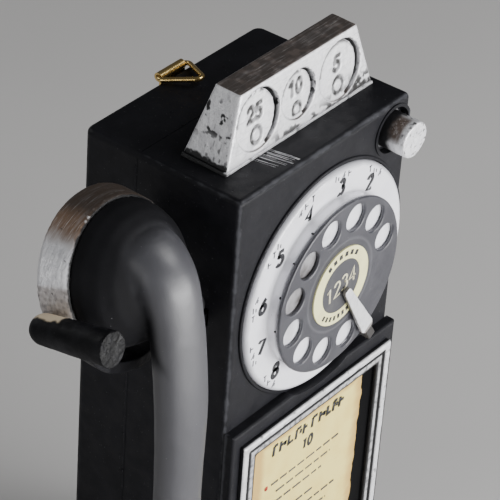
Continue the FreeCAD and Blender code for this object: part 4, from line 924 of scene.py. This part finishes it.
def finger_stop():
    """The silver wedge, with painted shade on its sides and tarnished at its outer end, on a dark arm."""
    mesh, p, n = soft_copy("finger_stop", 0.3, 5)
    out = (p[:, 0] - DIAL_X) * math.cos(STOP_ANGLE) + (p[:, 2] - DIAL_Z) * math.sin(STOP_ANGLE)
    push(mesh, 0.06 * rough(p, 3, 71))
    # Painted shade: the faces that don't face forward are painted brown, and darker towards the dial's
    # middle.
    side = ramp(-n[:, 1], 0.5, 0.1)
    mark(mesh, tarnish_and_shade=0.8 * ramp(out + rough(p, 2, 73), 32.2, 33.0) + 0.6 * side,
         soiling_and_shade=side * ramp(out, 30, 24) * 0.6 + 0.93 * ramp(out, 33.4, 34.0), bare=np.zeros(len(p)))
    new_piece("finger_stop_cast", mesh, "case", SILVER_Z, ["finger_stop"])


# ---------------------------------------------------------------- button, frame and card
def release_button():
    """The silver button: specked face, a brown patch of painted shade on its upper side, and black where it
    is deep in its recess.
    """
    mesh, p, n = soft_copy("release_button", 0.3, 3)
    face = ramp(-n[:, 1], 0.7, 0.95)
    push(mesh, face * 0.30 * np.minimum(rough(p, 1.9, 77), 0.1) + 0.08 * rough(p, 2.6, 79))
    angle = np.degrees(np.arctan2(p[:, 2] - KNOB_Z, p[:, 0] - KNOB_X))
    # Painted shade: brown over the upper left of the button's side, away from its face.
    patch = ramp(np.abs(angle - 128), 62, 30) * ramp(p[:, 1], KNOB_FACE + 1.6, KNOB_FACE + 3.4)
    side = 1 - face
    deep = ramp(p[:, 1] + 1.2 * rough(p, 3, 81), KNOB_FACE + 5.5, KNOB_FACE + 8.5)
    pits = face * ramp(rough(p, 1.3, 83), 0.45, 0.62) * 0.9
    smudges = side * ramp(rough(p, 2.0, 85), 0.1, 0.6) * (1 - patch)
    mark(mesh, tarnish_and_shade=patch * side, soiling_and_shade=np.maximum(pits, smudges), bare=side * deep)
    new_piece("release_button_cast", mesh, "button", SILVER_Z, ["release_button"])


def card_frame():
    """The frame's two soft beads, silver on their crowns, smudged inside and dark in the groove."""
    mesh, p, n = soft_copy("card_frame", 0.45, 3)
    low, high = corners("card_frame")
    push(mesh, 0.10 * rough(p, 5.0, 87) + 0.05 * rough(p, 1.4, 89))
    deep = ramp(p[:, 1], low[1] + 0.55, low[1] + 1.15)
    from_sides = np.minimum(p[:, 0] - low[0], high[0] - p[:, 0])
    edge = np.minimum(from_sides, np.minimum(p[:, 2] - low[2], high[2] - p[:, 2]))
    outer_side = ramp(edge, 0.7, 0.2) * ramp(-n[:, 1], 0.5, 0.1)
    groove = ramp(np.abs(edge - GROOVE_AT), 1.15, 0.85)
    rim_side = ramp(edge, 6.4, 6.9)
    deep = np.maximum(deep, np.maximum(groove, rim_side))
    smudges = ramp(rough(p, 2.2, 93), 0.35, 0.6) * 0.7
    inner = ramp(edge, 3.2, 4.2) * (0.42 + 0.4 * ramp(rough(p, 1.6, 94), 0.0, 0.4))
    mark(mesh, bare=np.maximum(deep, outer_side) * ramp(rough(p, 3, 91), -1.4, -0.9),
         soiling_and_shade=np.maximum(smudges, inner), tarnish_and_shade=0.3 * ramp(rough(p, 9, 95), 0.1, 0.7))
    new_piece("card_frame_cast", mesh, "case", SILVER_X, ["card_frame"])


def ragged(v, size, seed):
    """A torn edge's offset at heights v."""
    spots = np.stack([v, np.zeros_like(v), np.zeros_like(v)], axis=1)
    return rough(spots, size, seed, 4)


def instruction_card():
    """The cream card: slightly wavy, torn along its right edge and brown round its rim."""
    low, high = corners("instruction_card")
    across, down = 60, 150
    v = np.linspace(low[2], high[2], down)
    left = low[0] + 0.25 + 0.2 * ragged(v, 9, 3)
    right = high[0] - 1.3 + 1.2 * ragged(v, 7, 9)
    thick = 0.25
    points, edge = [], []
    for layer in (0, 1):
        for j in range(down):
            for i in range(across):
                u = i / (across - 1)
                x = left[j] + u * (right[j] - left[j])
                wave = 0.10 * math.sin(x / 9.0 + v[j] / 23.0) + 0.08 * math.sin(v[j] / 11.0)
                points.append((x, low[1] + 0.2 + wave + layer * thick, v[j]))
                edge.append(min(x - left[j], (right[j] - x) * 0.7, high[2] - v[j], v[j] - low[2]))

    def at(layer, j, i):
        return layer * across * down + j * across + i

    faces = []
    for j in range(down - 1):
        for i in range(across - 1):
            faces.append((at(0, j, i), at(0, j, i + 1), at(0, j + 1, i + 1), at(0, j + 1, i)))
            faces.append((at(1, j, i), at(1, j + 1, i), at(1, j + 1, i + 1), at(1, j, i + 1)))
    rim = [(0, i) for i in range(across - 1)] + [(j, across - 1) for j in range(down - 1)]
    rim += [(down - 1, i) for i in range(across - 1, 0, -1)] + [(j, 0) for j in range(down - 1, 0, -1)]
    for (j, i), (k, m) in zip(rim, rim[1:] + rim[:1]):
        faces.append((at(0, j, i), at(1, j, i), at(1, k, m), at(0, k, m)))
    mesh = mesh_of("instruction_card_paper", points, faces)
    p = points_of(mesh)
    from_left = p[:, 0] - low[0]
    ochre = ramp(from_left + 1.4 * rough(p, 6, 98), 8.2, 4.6)
    mark(mesh, edge=np.maximum(ochre, ramp(np.array(edge) + 1.2 * rough(p, 4, 97), 4.2, 0.8)))
    new_piece("instruction_card_paper", mesh, "case", CARD_PAPER, ["instruction_card"])
    card_print(low, high)
    card_shade_sheet()


def card_shade_sheet():
    """A near-black sheet behind the card, seen past its torn edge: painted shade in the gap between the card
    and the frame.
    """
    low, high = corners("card_frame")
    inset, thick = 6.4, 0.06
    x, z = (low[0] + inset, high[0] - inset), (low[2] + inset, high[2] - inset)
    points = [(a, PANEL_FACE - depth, b) for depth in (0.02, 0.02 + thick) for a, b in
              ((x[0], z[0]), (x[1], z[0]), (x[1], z[1]), (x[0], z[1]))]
    faces = tube_faces(0, 2)
    # Near-black: painted shade.
    f = Finish("shade_sheet_black", (0.0025, 0.0025, 0.003), 0.8, Specular_IOR_Level=0.1)
    f.relief(f.noise(0.6, 3), 0.02)
    new_piece("card_shade_sheet", mesh_of("card_shade_sheet", points, faces), "case", f.done())


def card_print(low, high):
    """A number, and strokes, bars and dots that spell nothing, where the card is printed."""
    middle_x = (low[0] + high[0]) / 2 - 0.5
    width = high[0] - low[0]
    face = low[1] + 0.05
    top = high[2]
    foot, head, gap = top - 8.6, top - 4.0, 1.5
    title = []
    letters = (2.6, 3.4, 3.2, 3.2, 2.4, 0, 3.2, 3.2, 2.4, 2.4, 2.8)
    x = middle_x - (sum(letters) + gap * len(letters)) / 2 + 1.0
    for i, w in enumerate(letters):
        if w:
            bar = head - (i % 3) * 1.9
            title += [[(x, foot), (x + 0.5, head)], [(x + 0.5, bar), (x + w, bar)]]
            if i % 2:
                title.append([(x + w - 0.4, foot + 1.5), (x + w, top - 5.2)])
        x += w + gap
    number = figure_strokes("10", middle_x, top - 14.2, 4.6, 0.12)
    lines, dots = [], []
    z = top - 23.0
    for row in range(9):
        starts = row % 3 == 0
        z -= 3.0 if starts and row else 0.0
        indent = -width * (0.34 if starts else 0.29)
        reach = width * (0.30 - 0.07 * ((row * 5) % 4))
        x = middle_x + indent + 2.0
        while x < middle_x + reach:
            word = 2.2 + (row * 7 + int(x * 3)) % 4
            lines.append([(x, z), (min(x + word, middle_x + reach), z)])
            x += word + 1.2
        if starts:
            dots.append(arc(middle_x + indent - 1.0, z, 0.5, 0.5, 0, 360, 11))
        z -= 5.2
    sets = (("card_title", title + number, 1.45, INK, 0.9), ("card_lines", lines, 1.5, FAINT_INK, 0.6),
            ("card_dots", dots, 1.2, RED_INK, 1.0))
    for name, strokes, line_width, material, thin in sets:
        points, faces = stroke_solid(strokes, line_width, face, 0.04, thin)
        new_piece(name, mesh_of(name, points, faces), "case", material)


# ---------------------------------------------------------------- small marks of casting and paint
def pimples(name, places, body, material, seed):
    """Tiny half-sunk drops of paint, each a (centre, radius), as one mesh."""
    rng = np.random.default_rng(seed)
    ball = bmesh.new()
    bmesh.ops.create_icosphere(ball, subdivisions=2, radius=1.0)
    unit = np.array([v.co for v in ball.verts])
    triangles = [[v.index for v in f.verts] for f in ball.faces]
    ball.free()
    points, faces = [], []
    for centre, radius in places:
        stretch = rng.uniform(0.7, 1.3, 3)
        base = len(points)
        points += list(np.array(centre) + unit * radius * stretch)
        faces += [tuple(base + i for i in t) for t in triangles]
    new_piece(name, mesh_of(name, points, faces), body, material)


def parting_flash():
    """The raised seam left by the mould down the case's left side, with its small blobs."""
    x = -SIDE
    heights = np.arange(8.0, CASE_TOP - 6.0, 0.7)
    wander = ragged(heights, 24, 101) * 0.35
    swell = np.maximum(ragged(heights, 5, 103), 0) * 0.20
    points = []
    for z, dy, extra in zip(heights, wander, swell):
        y = SEAM + 0.6 + dy
        w, h = 0.30 + extra, 0.10 + 0.6 * extra
        points += [(x + 0.05, y - w, z), (x - h, y - w * 0.3, z),
                   (x - h, y + w * 0.3, z), (x + 0.05, y + w, z)]
    faces = tube_faces(0, len(heights))
    new_piece("parting_flash", mesh_of("parting_flash", points, faces), "case", CASE_PAINT)
    blobs = [((x, SEAM + 1.0, 131.6), 0.42), ((x, SEAM + 0.8, 113.0), 0.6), ((x, SEAM + 0.5, 152.7), 0.3),
             ((x, 5.1, 196.6), 0.36), ((x, 1.0, 180.9), 0.3)]
    rng = np.random.default_rng(5)
    on_side, on_top, in_from_edge = 46, 40, 4
    for _ in range(on_side):
        place = (x, rng.uniform(FRONT + in_from_edge, -FRONT - in_from_edge), rng.uniform(12, CASE_TOP - 8))
        blobs.append((place, rng.uniform(0.10, 0.24)))
    for _ in range(on_top):
        place = (rng.uniform(-SIDE + in_from_edge, SIDE - in_from_edge), rng.uniform(10, 30), CASE_TOP - 1.1)
        blobs.append((place, rng.uniform(0.10, 0.22)))
    pimples("case_pimples", blobs, "case", CASE_PAINT, 9)


# ---------------------------------------------------------------- studio
def stage():
    """A plain pale floor and soft light."""
    size = 6.0 / MM
    floor = mesh_of("floor", [(-size, -size, 0), (size, -size, 0), (size, size, 0), (-size, size, 0)],
                    [(0, 1, 2, 3)])
    f = Finish("floor_paint", (0.62, 0.61, 0.60), 0.6)
    f.paint(f.ramp(f.noise(300, 3), 0.3, 0.7), (0.66, 0.65, 0.64))
    floor.materials.append(f.done())
    add_object("floor", floor)

    world = bpy.data.worlds.new("studio")
    world.use_nodes = True
    sky = world.node_tree.nodes["Background"].inputs
    sky["Color"].default_value = (0.86, 0.88, 0.92, 1)
    sky["Strength"].default_value = 0.10
    bpy.context.scene.world = world
    aim = Vector((0.0, 0.0, 0.2))
    for name, place, width, height, power in (("key", (0.15, -1.15, 0.23), 1.3, 0.42, 30.0),
                                              ("over", (0.5, -0.7, 1.3), 0.6, 0.6, 9.0),
                                              ("left", (-1.4, 0.1, 0.55), 0.8, 0.8, 4.5),
                                              ("low", (-0.27, -0.40, 0.03), 0.30, 0.20, 0.4),
                                              ("back", (-0.3, 1.4, 0.9), 0.8, 0.8, 3.0)):
        lamp = bpy.data.lights.new(name, "AREA")
        lamp.shape = "RECTANGLE"
        lamp.size = width
        lamp.size_y = height
        lamp.energy = power
        holder = add_object(name, lamp)
        holder.location = place
        holder.rotation_euler = (aim - Vector(place)).to_track_quat("-Z", "Y").to_euler()


def camera():
    """The photograph's viewing angle: from the left, above, slightly rolled."""
    aim = Vector((-SIDE, FRONT - 5.3, CASE_TOP - 16.9)) * MM
    azimuth, elevation, roll = (math.radians(a) for a in (-53.52, 35.84, 4.24))
    distance = 0.9654
    out = Vector((math.sin(azimuth) * math.cos(elevation), -math.cos(azimuth) * math.cos(elevation),
                  math.sin(elevation)))
    data = bpy.data.cameras.new("camera")
    data.lens = 199.5
    data.sensor_width = 36.0
    data.clip_start = 0.02
    holder = add_object("camera", data)
    facing = out.to_track_quat("Z", "Y").to_matrix().to_4x4()
    holder.matrix_world = Matrix.Translation(aim + out * distance) @ facing @ Matrix.Rotation(roll, 4, "Z")
    bpy.context.scene.camera = holder


dress_cad_nodes()
coin_head()
coin_head_pad()
silver_smear()
handset_shell()
handset_cap("ear_cap", 1)
handset_cap("mouth_cap", -1)
hook()
number_plate()
dial_print()
finger_wheel()
label_print()
finger_stop()
release_button()
card_frame()
instruction_card()
parting_flash()
stage()
camera()
